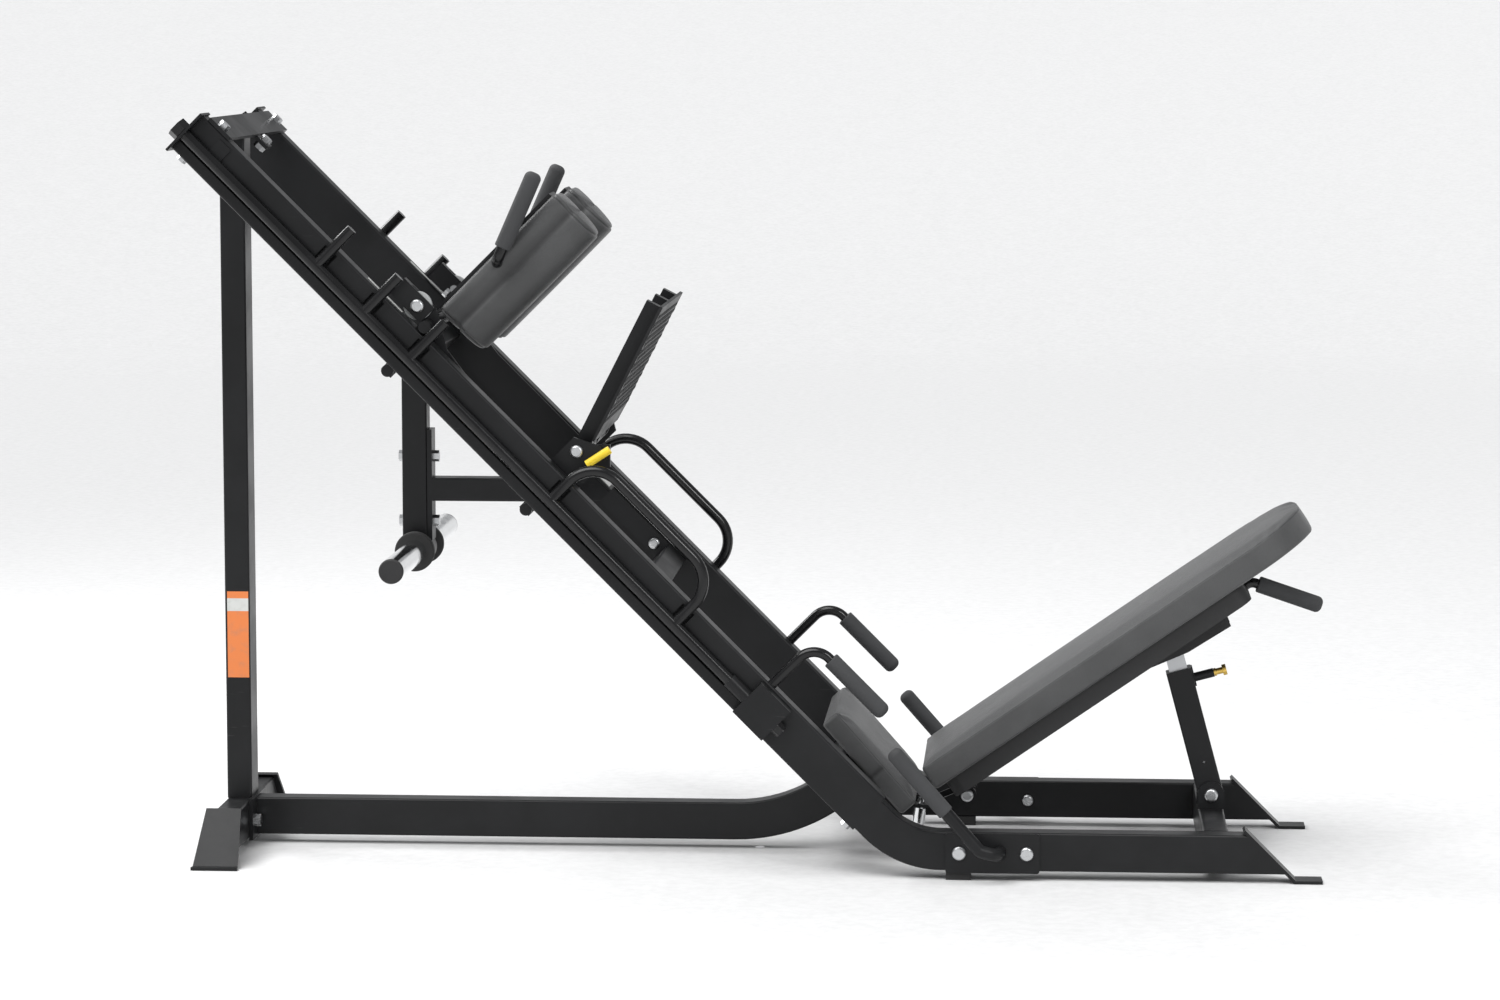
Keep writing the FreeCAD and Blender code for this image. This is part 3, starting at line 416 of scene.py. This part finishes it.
@dataclass(frozen=True)
class Moulded(Finish):
    """Rubber, foam or textured plastic: a fine cellular skin."""

    scale: float = 900.0
    depth: float = 0.3
    spread: float = 0.2

    def dress(self, tree: Tree, shader: bpy.types.Node) -> None:
        """A fine noise makes the skin, a coarse one the tone.

        Args:
            tree: the material's tree.
            shader: its main shader.
        """
        fine = tree.noise(self.scale, 4.0, 0.65)
        tone = tree.ramp(tree.noise(12.0, 4.0, 0.6), 0.3, 0.7)
        dust = tree.effect(Effects.settled_dust(), Amount=0.12)
        base = tree.mix(tone, self.toned(1.0 - self.spread), self.toned(1.0 + self.spread))
        dusty = tree.mix(dust.outputs["Mask"], base, (0.3, 0.3, 0.29, 1.0))
        tree.feed(shader.inputs["Base Color"], dusty)
        tree.feed(shader.inputs["Roughness"], tree.scaled(tone, 0.1, self.roughness - 0.05))
        self.bump(tree, shader, fine, self.depth, 0.0005)


@dataclass(frozen=True)
class Metal(Finish):
    """Plated or polished metal with faint turning marks and smudges."""

    marks: float = 0.1

    def dress(self, tree: Tree, shader: bpy.types.Node) -> None:
        """Smudges change the gloss, stretched noise gives the marks.

        Args:
            tree: the material's tree.
            shader: its main shader.
        """
        shader.inputs["Metallic"].default_value = 1.0
        smudge = tree.ramp(tree.noise(22.0, 4.0, 0.65), 0.35, 0.7)
        tree.feed(shader.inputs["Base Color"], tree.mix(smudge, self.toned(0.85), self.toned(1.0)))
        tree.feed(shader.inputs["Roughness"], tree.scaled(smudge, 0.12, self.roughness))
        turning = {"Vector": tree.place(), "Scale": (900.0, 40.0, 900.0)}
        stretched = tree.add("ShaderNodeMapping", turning)
        lines = tree.add("ShaderNodeTexNoise", {"Vector": stretched.outputs[0], "Scale": 1.0})
        self.bump(tree, shader, lines.outputs["Fac"], self.marks, 0.0003)


@dataclass(frozen=True)
class Film(Finish):
    """Printed film: a plain field with a band of a second colour, no lettering."""

    band: Colour = (0.75, 0.75, 0.73)
    axis: str = "Z"
    low: float = 0.0
    high: float = 0.0
    field_x: float = -10.0

    def dress(self, tree: Tree, shader: bpy.types.Node) -> None:
        """The band lies between two heights, and everything past field_x is plain.

        Args:
            tree: the material's tree.
            shader: its main shader.
        """
        axes = tree.add("ShaderNodeSeparateXYZ", {0: tree.place()})
        along = axes.outputs[self.axis]
        inside = tree.math("MULTIPLY", tree.math("GREATER_THAN", along, self.low),
                           tree.math("LESS_THAN", along, self.high))
        plain = tree.math("GREATER_THAN", axes.outputs["X"], self.field_x)
        either = tree.math("MAXIMUM", inside, plain)
        printed = tree.mix(either, self.toned(1.0), (*self.band, 1.0))
        grime = tree.math("MULTIPLY", tree.ramp(tree.noise(60.0, 4.0), 0.45, 0.8), 0.25)
        tree.feed(shader.inputs["Base Color"], tree.mix(grime, printed, (0.2, 0.2, 0.19, 1.0)))
        tree.feed(shader.inputs["Roughness"], tree.scaled(grime, 0.5, self.roughness))
        self.bump(tree, shader, tree.noise(300.0), 0.05, 0.0003)


class Coat(Enum):
    """Every finish on the machine."""

    FRAME = Paint("satin_black_powder", (0.0085, 0.0088, 0.0095), 0.38, 0.12, 0.06, 0.2, 0.26)
    TREAD = Paint("tread_black_powder", (0.010, 0.0105, 0.011), 0.45, 0.4, 0.1, 0.4)
    GLOSS = Paint("gloss_black_coat", (0.004, 0.004, 0.0045), 0.22, 0.05, 0.04, 0.15, 0.4)
    BOARD = Moulded("textured_black_board", (0.014, 0.014, 0.0145), 0.6, 420.0, 0.7, 0.25)
    VINYL = Vinyl("charcoal_vinyl", (0.058, 0.059, 0.060), 0.44)
    FOAM = Moulded("grey_foam_grip", (0.042, 0.043, 0.045), 0.8, 1100.0, 0.5, 0.12)
    RUBBER = Moulded("black_rubber", (0.011, 0.011, 0.011), 0.7, 700.0, 0.35, 0.2)
    NYLON = Moulded("pale_nylon", (0.42, 0.43, 0.43), 0.45, 300.0, 0.1, 0.1)
    ZINC = Metal("zinc_bolt", (0.62, 0.63, 0.64), 0.26)
    CHROME = Metal("polished_chrome", (0.78, 0.79, 0.80), 0.08, 0.03)
    SILVER = Metal("silver_tube", (0.55, 0.56, 0.57), 0.38, 0.3)
    GOLD = Metal("yellow_zinc", (0.82, 0.56, 0.14), 0.28)
    YELLOW = Moulded("yellow_plastic", (0.85, 0.62, 0.03), 0.35, 400.0, 0.08, 0.06)
    LABEL = Film("printed_film", (0.74, 0.21, 0.055), 0.4, (0.61, 0.62, 0.60),
                 "Z", 0.479, 0.505, -1.0)
    STRIPE = Film("pale_film", (0.62, 0.62, 0.60), 0.45)
    FLOOR = Moulded("pale_floor", (0.80, 0.80, 0.80), 0.7, 40.0, 0.02, 0.01)


SLOT_COATS: dict[str, Coat] = {
    "frame_black": Coat.FRAME, "gloss_black": Coat.GLOSS, "foam_grip": Coat.FOAM,
    "pad_vinyl": Coat.VINYL, "black_rubber": Coat.RUBBER, "black_plastic": Coat.BOARD,
    "roller_plastic": Coat.NYLON, "bolt_steel": Coat.ZINC, "chrome": Coat.CHROME,
    "silver_tube": Coat.SILVER, "gold_pin": Coat.GOLD, "yellow_handle": Coat.YELLOW,
    "label": Coat.STRIPE,
}
NODE_COATS: dict[str, Coat] = {"frame_labels": Coat.LABEL, "foot_tread": Coat.TREAD}


# ------------------------------------------------------------------ placing and meshes
@dataclass(frozen=True)
class Local:
    """A tipped frame: an origin in the XZ plane and the tilt of its X axis below level."""

    x: float
    z: float
    tilt: float

    def world(self, points: np.ndarray) -> np.ndarray:
        """Moves points from this frame to the row frame.

        Args:
            points: an (n, 3) array, turned about Y by tilt and then shifted to the origin.

        Returns:
            The moved array.
        """
        a = math.radians(self.tilt)
        c, s = math.cos(a), math.sin(a)
        turn = np.array([[c, 0.0, s], [0.0, 1.0, 0.0], [-s, 0.0, c]])
        return points @ turn.T + np.array([self.x, 0.0, self.z])


RAIL = Local(0.14915, 0.14915, 45.0)
SEAT = Local(0.164, 0.306, 48.5)
BACK = Local(0.362, 0.151, -34.7)
FOOT = Local(-0.343, 0.831, -63.0)


def new_piece(name: str, points: np.ndarray, faces: list[list[int]],
              coat: Coat) -> bpy.types.Object:
    """Makes a smooth mesh object at the origin.

    Args:
        name: the piece's name.
        points: (n, 3) places in the row frame, in metres.
        faces: the vertex numbers of every face, facing outwards.
        coat: its finish.

    Returns:
        The linked object.
    """
    mesh = bpy.data.meshes.new(name)
    mesh.from_pydata(points.tolist(), [], faces)
    smooth_all(mesh)
    mesh.materials.append(coat.value.material())
    mesh.update()
    piece = bpy.data.objects.new(name, mesh)
    bpy.context.scene.collection.objects.link(piece)
    return piece


def smooth_all(mesh: bpy.types.Mesh) -> None:
    """Shades every face of a mesh smooth."""
    mesh.polygons.foreach_set("use_smooth", np.ones(len(mesh.polygons), dtype=bool))


def vertex_vectors(mesh: bpy.types.Mesh, name: str) -> np.ndarray:
    """Reads one vector per vertex.

    Args:
        mesh: the mesh to read.
        name: "co" for the places or "normal" for the normals.

    Returns:
        An (n, 3) array.
    """
    values = np.empty(len(mesh.vertices) * 3)
    mesh.vertices.foreach_get(name, values)
    return values.reshape(-1, 3)


def lattice_shell(axes: list[np.ndarray]) -> tuple[np.ndarray, np.ndarray, np.ndarray]:
    """Surface of a box lattice, welded.

    Each of the six sides is a grid over two of the axes with the third held at an end,
    and vertices that share a lattice place are merged.

    Args:
        axes: the coordinates along X, Y and Z.

    Returns:
        Points, outward quads and the lattice numbers of every point.
    """
    sizes = [len(a) for a in axes]
    keys, quads = [], []
    offset = 0
    for axis in range(3):
        b, c = (axis + 1) % 3, (axis + 2) % 3
        for end in (0, sizes[axis] - 1):
            i, j = np.meshgrid(np.arange(sizes[b]), np.arange(sizes[c]), indexing="ij")
            key = np.zeros((i.size, 3), dtype=np.int64)
            key[:, axis] = end
            key[:, b] = i.ravel()
            key[:, c] = j.ravel()
            number = offset + np.arange(i.size).reshape(i.shape)
            quad = np.stack([number[:-1, :-1], number[1:, :-1], number[1:, 1:], number[:-1, 1:]],
                            axis=-1).reshape(-1, 4)
            quads.append(quad if end else quad[:, ::-1])
            keys.append(key)
            offset += i.size
    key = np.concatenate(keys)
    unique, where = np.unique(key, axis=0, return_inverse=True)
    faces = where.reshape(-1)[np.concatenate(quads)]
    points = np.stack([axes[k][unique[:, k]] for k in range(3)], axis=-1)
    return points, faces, unique


def edged_axis(half: float, radius: float, step: float) -> np.ndarray:
    """Coordinates from -half to half, close together inside radius of both ends.

    Args:
        half: half of the length.
        radius: the length at each end that gets EDGE_POINTS points.
        step: the spacing between the two ends.

    Returns:
        The rising coordinates.
    """
    inner = half - radius
    count = max(2, int(round(2.0 * inner / step)))
    bend = inner + radius * np.linspace(0.0, 1.0, EDGE_POINTS + 1)[1:]
    return np.concatenate([-bend[::-1], np.linspace(-inner, inner, count + 1), bend])


def rounded(points: np.ndarray, half: np.ndarray, radius: float) -> np.ndarray:
    """Rounds a box's edges.

    The part of each point outside the inner box is set to the length radius.

    Args:
        points: (n, 3) places on the box.
        half: half of its size along X, Y and Z.
        radius: the edges' radius.

    Returns:
        The rounded places.
    """
    inner = np.clip(points, -(half - radius), half - radius)
    out = points - inner
    length = np.linalg.norm(out, axis=1, keepdims=True)
    return inner + out * (radius / np.maximum(length, TINY))


# ------------------------------------------------------------------ upholstery
@dataclass
class Cushion:
    """An upholstered pad: stuffed by a cloth simulation, with sunk seams."""

    name: str
    node: str
    body: str
    place: Local
    size: tuple[float, float, float] = (0.2, 0.2, 0.04)
    corner: tuple[float, float, float] = (0.0, 0.0, 0.0)
    radius: float = 0.008
    step: float = 0.009
    crown: float = 0.006
    cap: float = 0.006
    pressure: float = 4.0
    cross_seams: tuple[float, ...] = ()
    fill: float = 0.9
    sunk: float = 0.0018
    end_radius: float = 0.0

    def shape(self) -> tuple[np.ndarray, np.ndarray, np.ndarray, np.ndarray]:
        """Crowned closed form.

        A rounded box whose top rises by crown times the product of two falling powers,
        so it is highest in the middle and meets the seam flat. Towards the far end the
        width follows a circle of end_radius, which rounds the two far corners in plan.

        Returns:
            Local points, quads, the held mask and the seam mask.
        """
        half = 0.5 * np.array(self.size)
        axes = [edged_axis(length, self.radius, self.step) for length in half]
        points, faces, key = lattice_shell(axes)
        points = rounded(points, half, self.radius)
        fall_x = 1.0 - np.abs(points[:, 0] / half[0]) ** 3.0
        fall_y = 1.0 - np.abs(points[:, 1] / half[1]) ** 3.0
        upper = np.clip(points[:, 2] / half[2], 0.0, 1.0)
        points[:, 2] += self.crown * np.clip(fall_x * fall_y, 0.0, 1.0) * upper
        if self.end_radius > 0.0:
            part = np.clip((points[:, 0] - half[0]) / self.end_radius + 1.0, 0.0, 1.0)
            reach = half[1] - self.end_radius * (1.0 - np.sqrt(1.0 - part ** 2))
            points[:, 1] *= reach / half[1]
        top = len(axes[2]) - SEAM_BELOW_TOP
        last_x, last_y = len(axes[0]) - 1, len(axes[1]) - 1
        flank = (key[:, 1] == 0) | (key[:, 1] == last_y)
        side = (key[:, 0] == 0) | (key[:, 0] == last_x) | flank
        seam = side & (key[:, 2] == top)
        for share in self.cross_seams:
            column = int(round(share * last_x))
            seam |= flank & (key[:, 0] == column) & (key[:, 2] <= top)
        held = (points[:, 2] < -half[2] + 1.2 * self.radius) | seam
        points += half * np.array([1.0, 0.0, 1.0]) + np.array(self.corner)
        return points, faces, held, seam

    def build(self) -> bpy.types.Object:
        """Makes, stuffs and places the pad.

        Returns:
            The finished pad.
        """
        points, faces, held, seam = self.shape()
        piece = new_piece(self.name, self.place.world(points), faces.tolist(), Coat.VINYL)
        stuff(piece, held, self.pressure, self.cap)
        sink_seams(piece, seam, self.sunk)
        subdivide(piece)
        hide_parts(self.node)
        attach(piece, self.body)
        LOG.info("%s: %d faces", self.name, len(faces))
        return piece


def stuff(piece: bpy.types.Object, held: np.ndarray, pressure: float, cap: float) -> None:
    """Blows the cover up against its held seams with a cloth simulation.

    Args:
        piece: the closed cover, changed in place.
        held: mask of the vertices that don't move.
        pressure: the stuffing's push.
        cap: the furthest that a point may travel, in metres.
    """
    mesh = piece.data
    before = vertex_vectors(mesh, "co")
    pins = piece.vertex_groups.new(name="held")
    pins.add(np.flatnonzero(held).tolist(), 1.0, "REPLACE")
    cloth = piece.modifiers.new("stuffing", "CLOTH")
    settings = cloth.settings
    for key, value in CLOTH_SETTINGS.items():
        setattr(settings, key, value)
    settings.uniform_pressure_force = pressure
    settings.vertex_group_mass = "held"
    settings.effector_weights.gravity = 0.0
    cloth.collision_settings.use_collision = False
    scene = bpy.context.scene
    for frame in range(1, STUFFING_FRAMES + 1):
        scene.frame_set(frame)
    graph = bpy.context.evaluated_depsgraph_get()
    result = piece.evaluated_get(graph).to_mesh()
    after = vertex_vectors(result, "co")
    piece.evaluated_get(graph).to_mesh_clear()
    piece.modifiers.remove(cloth)
    scene.frame_set(1)
    move = after - before
    far = np.linalg.norm(move, axis=1, keepdims=True)
    move *= np.minimum(1.0, cap / np.maximum(far, TINY))
    mesh.vertices.foreach_set("co", (before + move).ravel())
    mesh.update()


def subdivide(piece: bpy.types.Object) -> None:
    """Subdivides once on screen; the render keeps the modifier's own two."""
    piece.modifiers.new("smooth", "SUBSURF").levels = 1


def sink_seams(piece: bpy.types.Object, seam: np.ndarray, depth: float) -> None:
    """Pulls the seam's vertices in along their normals and marks them for the painted shade that the
    finish lays along the seam.

    Args:
        piece: the cover, changed in place.
        seam: mask of the seam's vertices.
        depth: how far the seam sinks, in metres.
    """
    mesh = piece.data
    sunk = vertex_vectors(mesh, "normal") * (depth * seam[:, None])
    mesh.vertices.foreach_set("co", (vertex_vectors(mesh, "co") - sunk).ravel())
    mark = mesh.attributes.new("seam", "FLOAT", "POINT")
    mark.data.foreach_set("value", seam.astype(np.float32))
    mesh.update()


@dataclass
class ShoulderRoll:
    """One D-section shoulder pad: a flat base with a stuffed roll in front."""

    side: int
    name: str
    length: tuple[float, float] = (0.128, 0.457)
    back: float = -1.222
    crease: float = -1.170
    front: float = -1.101
    middle: float = 0.140
    half: float = 0.0570
    around: int = 88
    along: int = 44
    edge_rings: int = 8
    cap_rings: int = 7
    cap_rise: float = 0.004
    end_radius: float = 0.014
    pressure: float = 3.0
    cap: float = 0.003
    sunk: float = 0.0034

    def profile(self) -> tuple[np.ndarray, np.ndarray]:
        """Closed section in (u, y).

        The base is three sides of a rounded rectangle and the roll a half superellipse.
        A bell curve over the crease narrows the width by a tenth where they meet.

        Returns:
            (n, 2) points around the section and the crease mask.
        """
        t = np.linspace(0.0, 2.0 * math.pi, self.around, endpoint=False)
        c, s = np.cos(t), np.sin(t)
        power = np.where(c > 0.0, 0.86, 0.28)
        depth = np.where(c > 0.0, self.front - self.crease, self.crease - self.back)
        u = self.crease + depth * np.sign(c) * np.abs(c) ** power
        pinch = 1.0 - 0.10 * np.exp(-(c / 0.16) ** 2)
        y = self.half * pinch * np.sign(s) * np.abs(s) ** np.where(c > 0.0, 0.80, 0.28)
        crease = np.abs(c) < 0.5 * math.sin(2.0 * math.pi / self.around)
        return np.stack([u, y], axis=-1), crease

    def rings(self, section: np.ndarray) -> tuple[np.ndarray, np.ndarray]:
        """Rings from the lower end to the upper one.

        Over the last end_radius of each end the section shrinks along a quarter circle
        towards its centre. Inside each end ring lie cap_rings smaller copies of it, lifted
        by cap_rise times one less the square of their size.

        Args:
            section: (n, 2) points around the section.

        Returns:
            (m, n, 2) rings and the m heights.
        """
        low, high = self.length
        opening = np.linspace(1.0, 0.0, self.edge_rings + 1)[:-1]
        closing = np.linspace(0.0, 1.0, self.edge_rings + 1)[1:]
        turn = np.concatenate([opening, np.zeros(self.along), closing]) * math.pi / 2.0
        shrink = self.end_radius * (1.0 - np.cos(turn))
        lift = self.end_radius * (1.0 - np.sin(turn))
        run = np.linspace(low + self.end_radius, high - self.end_radius, self.along)
        heights = np.concatenate([low + lift[:self.edge_rings], run, high - lift[-self.edge_rings:]])
        centre = self.centre()
        reach = np.linalg.norm(section - centre, axis=1)
        factor = 1.0 - shrink[:, None] / reach[None, :]
        rings = centre + (section - centre)[None, :, :] * factor[:, :, None]
        sizes = np.linspace(0.82, 0.12, self.cap_rings)
        lower, upper = (centre + (rings[k] - centre)[None] * sizes[:, None, None] for k in (0, -1))
        dome = self.cap_rise * (1.0 - sizes ** 2)
        heights = np.concatenate([(low - dome)[::-1], heights, high + dome])
        return np.concatenate([lower[::-1], rings, upper]), heights

    def centre(self) -> np.ndarray:
        """The section's middle in (u, y)."""
        return np.array([0.5 * (self.back + self.front), 0.0])

    def skin(self, rows: int) -> list[list[int]]:
        """Quads between neighbouring rings, and a fan of triangles to each pole.

        Args:
            rows: the number of rings.

        Returns:
            The faces. The poles follow the rings' vertices, the lower one first.
        """
        number = np.arange(rows * self.around).reshape(rows, self.around)
        nxt = np.roll(number, -1, axis=1)
        quads = np.stack([number[:-1], nxt[:-1], nxt[1:], number[1:]], axis=-1).reshape(-1, 4)
        pole = np.full(self.around, number.size)
        lower = np.stack([pole, nxt[0], number[0]], axis=-1)
        upper = np.stack([pole + 1, number[-1], nxt[-1]], axis=-1)
        return quads.tolist() + lower.tolist() + upper.tolist()

    def build(self) -> bpy.types.Object:
        """Sweeps the section along the pad, closes both ends with domes and stuffs it.

        Returns:
            The finished pad.
        """
        section, crease = self.profile()
        rings, heights = self.rings(section)
        count = len(rings)
        shift = self.side * self.middle
        points = np.empty((count, self.around, 3))
        points[:, :, 0] = rings[:, :, 0]
        points[:, :, 1] = rings[:, :, 1] + shift
        points[:, :, 2] = heights[:, None]
        low, high = self.length
        poles = np.array([[self.centre()[0], shift, low - self.cap_rise],
                          [self.centre()[0], shift, high + self.cap_rise]])
        everything = np.concatenate([points.reshape(-1, 3), poles])
        faces = self.skin(count)
        piece = new_piece(self.name, RAIL.world(everything), faces, Coat.VINYL)
        seam = np.zeros((count, self.around), dtype=bool)
        seam[:, crease] = True
        seam[self.cap_rings + 5, :] = True
        seam[-(self.cap_rings + 6), :] = True
        mask = np.concatenate([seam.ravel(), [False, False]])
        resting = rings[:, :, 0] < self.back + 0.006
        held = np.concatenate([(seam | resting).ravel(), [False, False]])
        stuff(piece, held, self.pressure, self.cap)
        sink_seams(piece, mask, self.sunk)
        subdivide(piece)
        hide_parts("shoulder_pad_right" if self.side < 0 else "shoulder_pad_left")
        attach(piece, "carriage")
        LOG.info("%s: %d faces", self.name, len(faces))
        return piece


# ------------------------------------------------------------------ tread
@dataclass
class TreadLugs:
    """Raised lozenges of the foot plate's tread."""

    pitch: float = 0.030
    long: float = 0.0115
    wide: float = 0.0038
    tall: float = 0.0018
    rows: tuple[float, float] = (0.078, 0.318)
    half_width: float = 0.228
    face: float = -0.022
    sink: float = 0.0006
    around: int = 12
    rings: tuple[float, ...] = (1.0, 0.72, 0.3)
    name: str = "tread_lugs"

    def skin(self, count: int) -> list[list[int]]:
        """Faces of every lozenge: quads between its rings, then one face on top and one below.

        Args:
            count: the number of lozenges.

        Returns:
            The faces.
        """
        ring = np.arange(self.around)
        nxt = (ring + 1) % self.around
        steps = self.around * np.arange(len(self.rings))
        base = np.concatenate([np.stack([ring + a, ring + b, nxt + b, nxt + a], axis=-1)
                               for a, b in zip(steps[:-1], steps[1:])])
        starts = np.arange(count) * (self.around * len(self.rings))
        quads = (base[None] + starts[:, None, None]).reshape(-1, 4)
        top = starts[:, None] + steps[-1] + ring[::-1]
        bottom = starts[:, None] + ring
        return quads.tolist() + top.tolist() + bottom.tolist()

    def build(self) -> bpy.types.Object:
        """Places low domed lozenges on a staggered grid, turned left and right in turn.

        One lozenge is a stack of rings: the outline is an ellipse whose cosine and sine
        are raised to powers above one, which draws its ends out, and its height falls
        with the square of the ring's size. The lowest ring sinks into the plate.

        Returns:
            The finished pattern.
        """
        along = np.arange(*self.rows, self.pitch / 2.0)
        across = np.arange(-self.half_width, self.half_width, self.pitch / 2.0)
        i, j = np.meshgrid(np.arange(len(along)), np.arange(len(across)), indexing="ij")
        keep = (i + j) % 2 == 0
        centre = np.stack([along[i[keep]], across[j[keep]]], axis=-1)
        lean = np.where(i[keep] % 2 == 0, 1.0, -1.0) * math.radians(45.0)
        t = np.linspace(0.0, 2.0 * math.pi, self.around, endpoint=False)
        outline = np.stack([self.long * np.sign(np.cos(t)) * np.abs(np.cos(t)) ** 1.5,
                            self.wide * np.sign(np.sin(t)) * np.abs(np.sin(t)) ** 1.2], axis=-1)
        rings = np.array(self.rings)
        flat = np.concatenate([outline * size for size in rings])
        sunk = np.where(rings == 1.0, -self.sink, 0.0)
        height = np.repeat(self.tall * (1.0 - rings ** 2) + sunk, self.around)
        c, s = np.cos(lean)[:, None], np.sin(lean)[:, None]
        x = centre[:, :1] + c * flat[:, 0] - s * flat[:, 1]
        y = centre[:, 1:] + s * flat[:, 0] + c * flat[:, 1]
        z = np.broadcast_to(self.face - height, x.shape)
        points = np.stack([x, y, z], axis=-1).reshape(-1, 3)
        count = len(centre)
        piece = new_piece(self.name, FOOT.world(points), self.skin(count), Coat.TREAD)
        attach(piece, "foot_plate")
        LOG.info("%s: %d lugs", self.name, count)
        return piece


# ------------------------------------------------------------------ carried-over pieces
@dataclass
class HardPieces:
    """Dresses the CAD nodes with finishes and clean shading."""

    nodes: dict[str, bpy.types.Object]
    slots: dict[str, str]
    crease: float = 33.0
    merge: float = 0.00002
    weight: int = 95
    plain: tuple[str, ...] = ("frame_labels", "carriage_label")

    def build(self) -> None:
        """Gives every node its finish, welds it and keeps its sharp edges crisp in modifiers."""
        for name, piece in self.nodes.items():
            coat = NODE_COATS.get(name, SLOT_COATS[self.slots[name]])
            piece.data.materials.clear()
            piece.data.materials.append(coat.value.material())
            if name in self.plain:
                continue
            smooth_all(piece.data)
            piece.modifiers.new("weld", "WELD").merge_threshold = self.merge
            edges = piece.modifiers.new("edges", "EDGE_SPLIT")
            edges.split_angle = math.radians(self.crease)
            piece.modifiers.new("shade", "WEIGHTED_NORMAL").weight = self.weight
            LOG.info("%s: %s", name, coat.name)


# ------------------------------------------------------------------ studio
@dataclass(frozen=True)
class Studio:
    """Pale floor, soft light and the camera."""

    eye: Place = (0.5642, -8.700, 1.6733)
    forward: Place = (-0.0666, 0.9917, -0.1099)
    up: Place = (-0.0074, 0.1097, 0.9939)
    lens: float = 104.4
    sensor: float = 36.0
    level: float = 12.0
    look_at: Place = (0.0, 0.0, 0.7)
    sky: tuple[float, float, float, float] = (0.97, 0.98, 1.0, 1.0)
    sky_power: float = 0.42

    def camera(self) -> None:
        """Sets the camera by its eye point and axes."""
        data = bpy.data.cameras.new("camera")
        data.lens = self.lens
        data.sensor_width = self.sensor
        data.clip_end = 100.0
        ahead = Vector(self.forward).normalized()
        right = ahead.cross(Vector(self.up)).normalized()
        up = right.cross(ahead)
        turn = Matrix((right, up, -ahead)).transposed().to_4x4()
        eye = bpy.data.objects.new("camera", data)
        eye.matrix_world = Matrix.Translation(Vector(self.eye)) @ turn
        bpy.context.scene.collection.objects.link(eye)
        bpy.context.scene.camera = eye

    def floor(self) -> None:
        """A shallow bowl, level in the middle and rising gently further out.

        Past the level part the height is a fifth of the square of the distance beyond it,
        divided by that distance and 3 m more, so it starts flat and ends as a slope.
        """
        r = np.concatenate([[0.01], np.linspace(2.0, self.level, 6), np.linspace(13.0, 60.0, 20)])
        t = np.linspace(0.0, 2.0 * math.pi, 64, endpoint=False)
        r, t = np.meshgrid(r, t, indexing="ij")
        rise = np.maximum(r - self.level, 0.0)
        z = 0.2 * rise ** 2 / (rise + 3.0) - 0.0005
        points = np.stack([r * np.cos(t), r * np.sin(t), z], axis=-1).reshape(-1, 3)
        number = np.arange(r.size).reshape(r.shape)
        nxt = np.roll(number, -1, axis=1)
        faces = np.stack([number[:-1], number[1:], nxt[1:], nxt[:-1]], axis=-1).reshape(-1, 4)
        new_piece("studio_floor", points, faces.tolist(), Coat.FLOOR)

    def area(self, name: str, place: Place, size: float, power: float) -> None:
        """Adds a square soft light that looks at the machine's middle.

        Args:
            name: the light's name.
            place: where it stands, in metres.
            size: its side.
            power: its strength in watts.
        """
        data = bpy.data.lights.new(name, "AREA")
        data.shape = "SQUARE"
        data.size = size
        data.energy = power
        lamp = bpy.data.objects.new(name, data)
        lamp.location = place
        look = Vector(self.look_at) - Vector(place)
        lamp.rotation_mode = "QUATERNION"
        lamp.rotation_quaternion = look.to_track_quat("-Z", "Y")
        bpy.context.scene.collection.objects.link(lamp)

    def sun(self, name: str, aim: Place, spread: float, power: float) -> None:
        """Adds an even light, softened over an angle.

        Args:
            name: the light's name.
            aim: the direction that it shines in.
            spread: its width in degrees.
            power: its strength.
        """
        data = bpy.data.lights.new(name, "SUN")
        data.energy = power
        data.angle = math.radians(spread)
        lamp = bpy.data.objects.new(name, data)
        lamp.rotation_mode = "QUATERNION"
        lamp.rotation_quaternion = Vector(aim).to_track_quat("-Z", "Y")
        bpy.context.scene.collection.objects.link(lamp)

    def build(self) -> None:
        """Builds light, floor and camera."""
        world = bpy.data.worlds.new("studio")
        world.use_nodes = True
        sky = world.node_tree.nodes["Background"]
        sky.inputs["Color"].default_value = self.sky
        sky.inputs["Strength"].default_value = self.sky_power
        bpy.context.scene.world = world
        self.sun("key", (0.35, 0.45, -1.0), 50.0, 2.6)
        self.area("rim", (-3.0, 1.5, 3.2), 1.6, 90.0)
        self.area("fill", (2.6, -3.6, 3.2), 1.2, 60.0)
        self.floor()
        self.camera()
        bpy.context.scene.view_settings.view_transform = "Standard"


def main() -> None:
    """Builds the scene in order: frame, hard pieces, pads, tread, studio."""
    logging.basicConfig(level=logging.INFO, format="%(message)s")
    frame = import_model()
    slots = {part["node"]: part["material_slot"] for part in frame["record"]["subparts"]}
    HardPieces(frame["nodes"], slots).build()
    Cushion("seat_cushion", "seat_pad", "frame", SEAT, (0.240, 0.346, 0.0425),
            (0.0, 0.0, -0.0398), cross_seams=(0.58,), crown=0.006, cap=0.004, step=0.008).build()
    Cushion("back_cushion", "back_pad", "back_rest", BACK, (0.904, 0.344, 0.0540),
            (0.0, 0.0, 0.0004), crown=0.007, cap=0.0035, step=0.010, radius=0.007,
            end_radius=0.130).build()
    ShoulderRoll(-1, "shoulder_roll_right").build()
    ShoulderRoll(1, "shoulder_roll_left").build()
    TreadLugs().build()
    Studio().build()


if __name__ == "__main__":
    main()
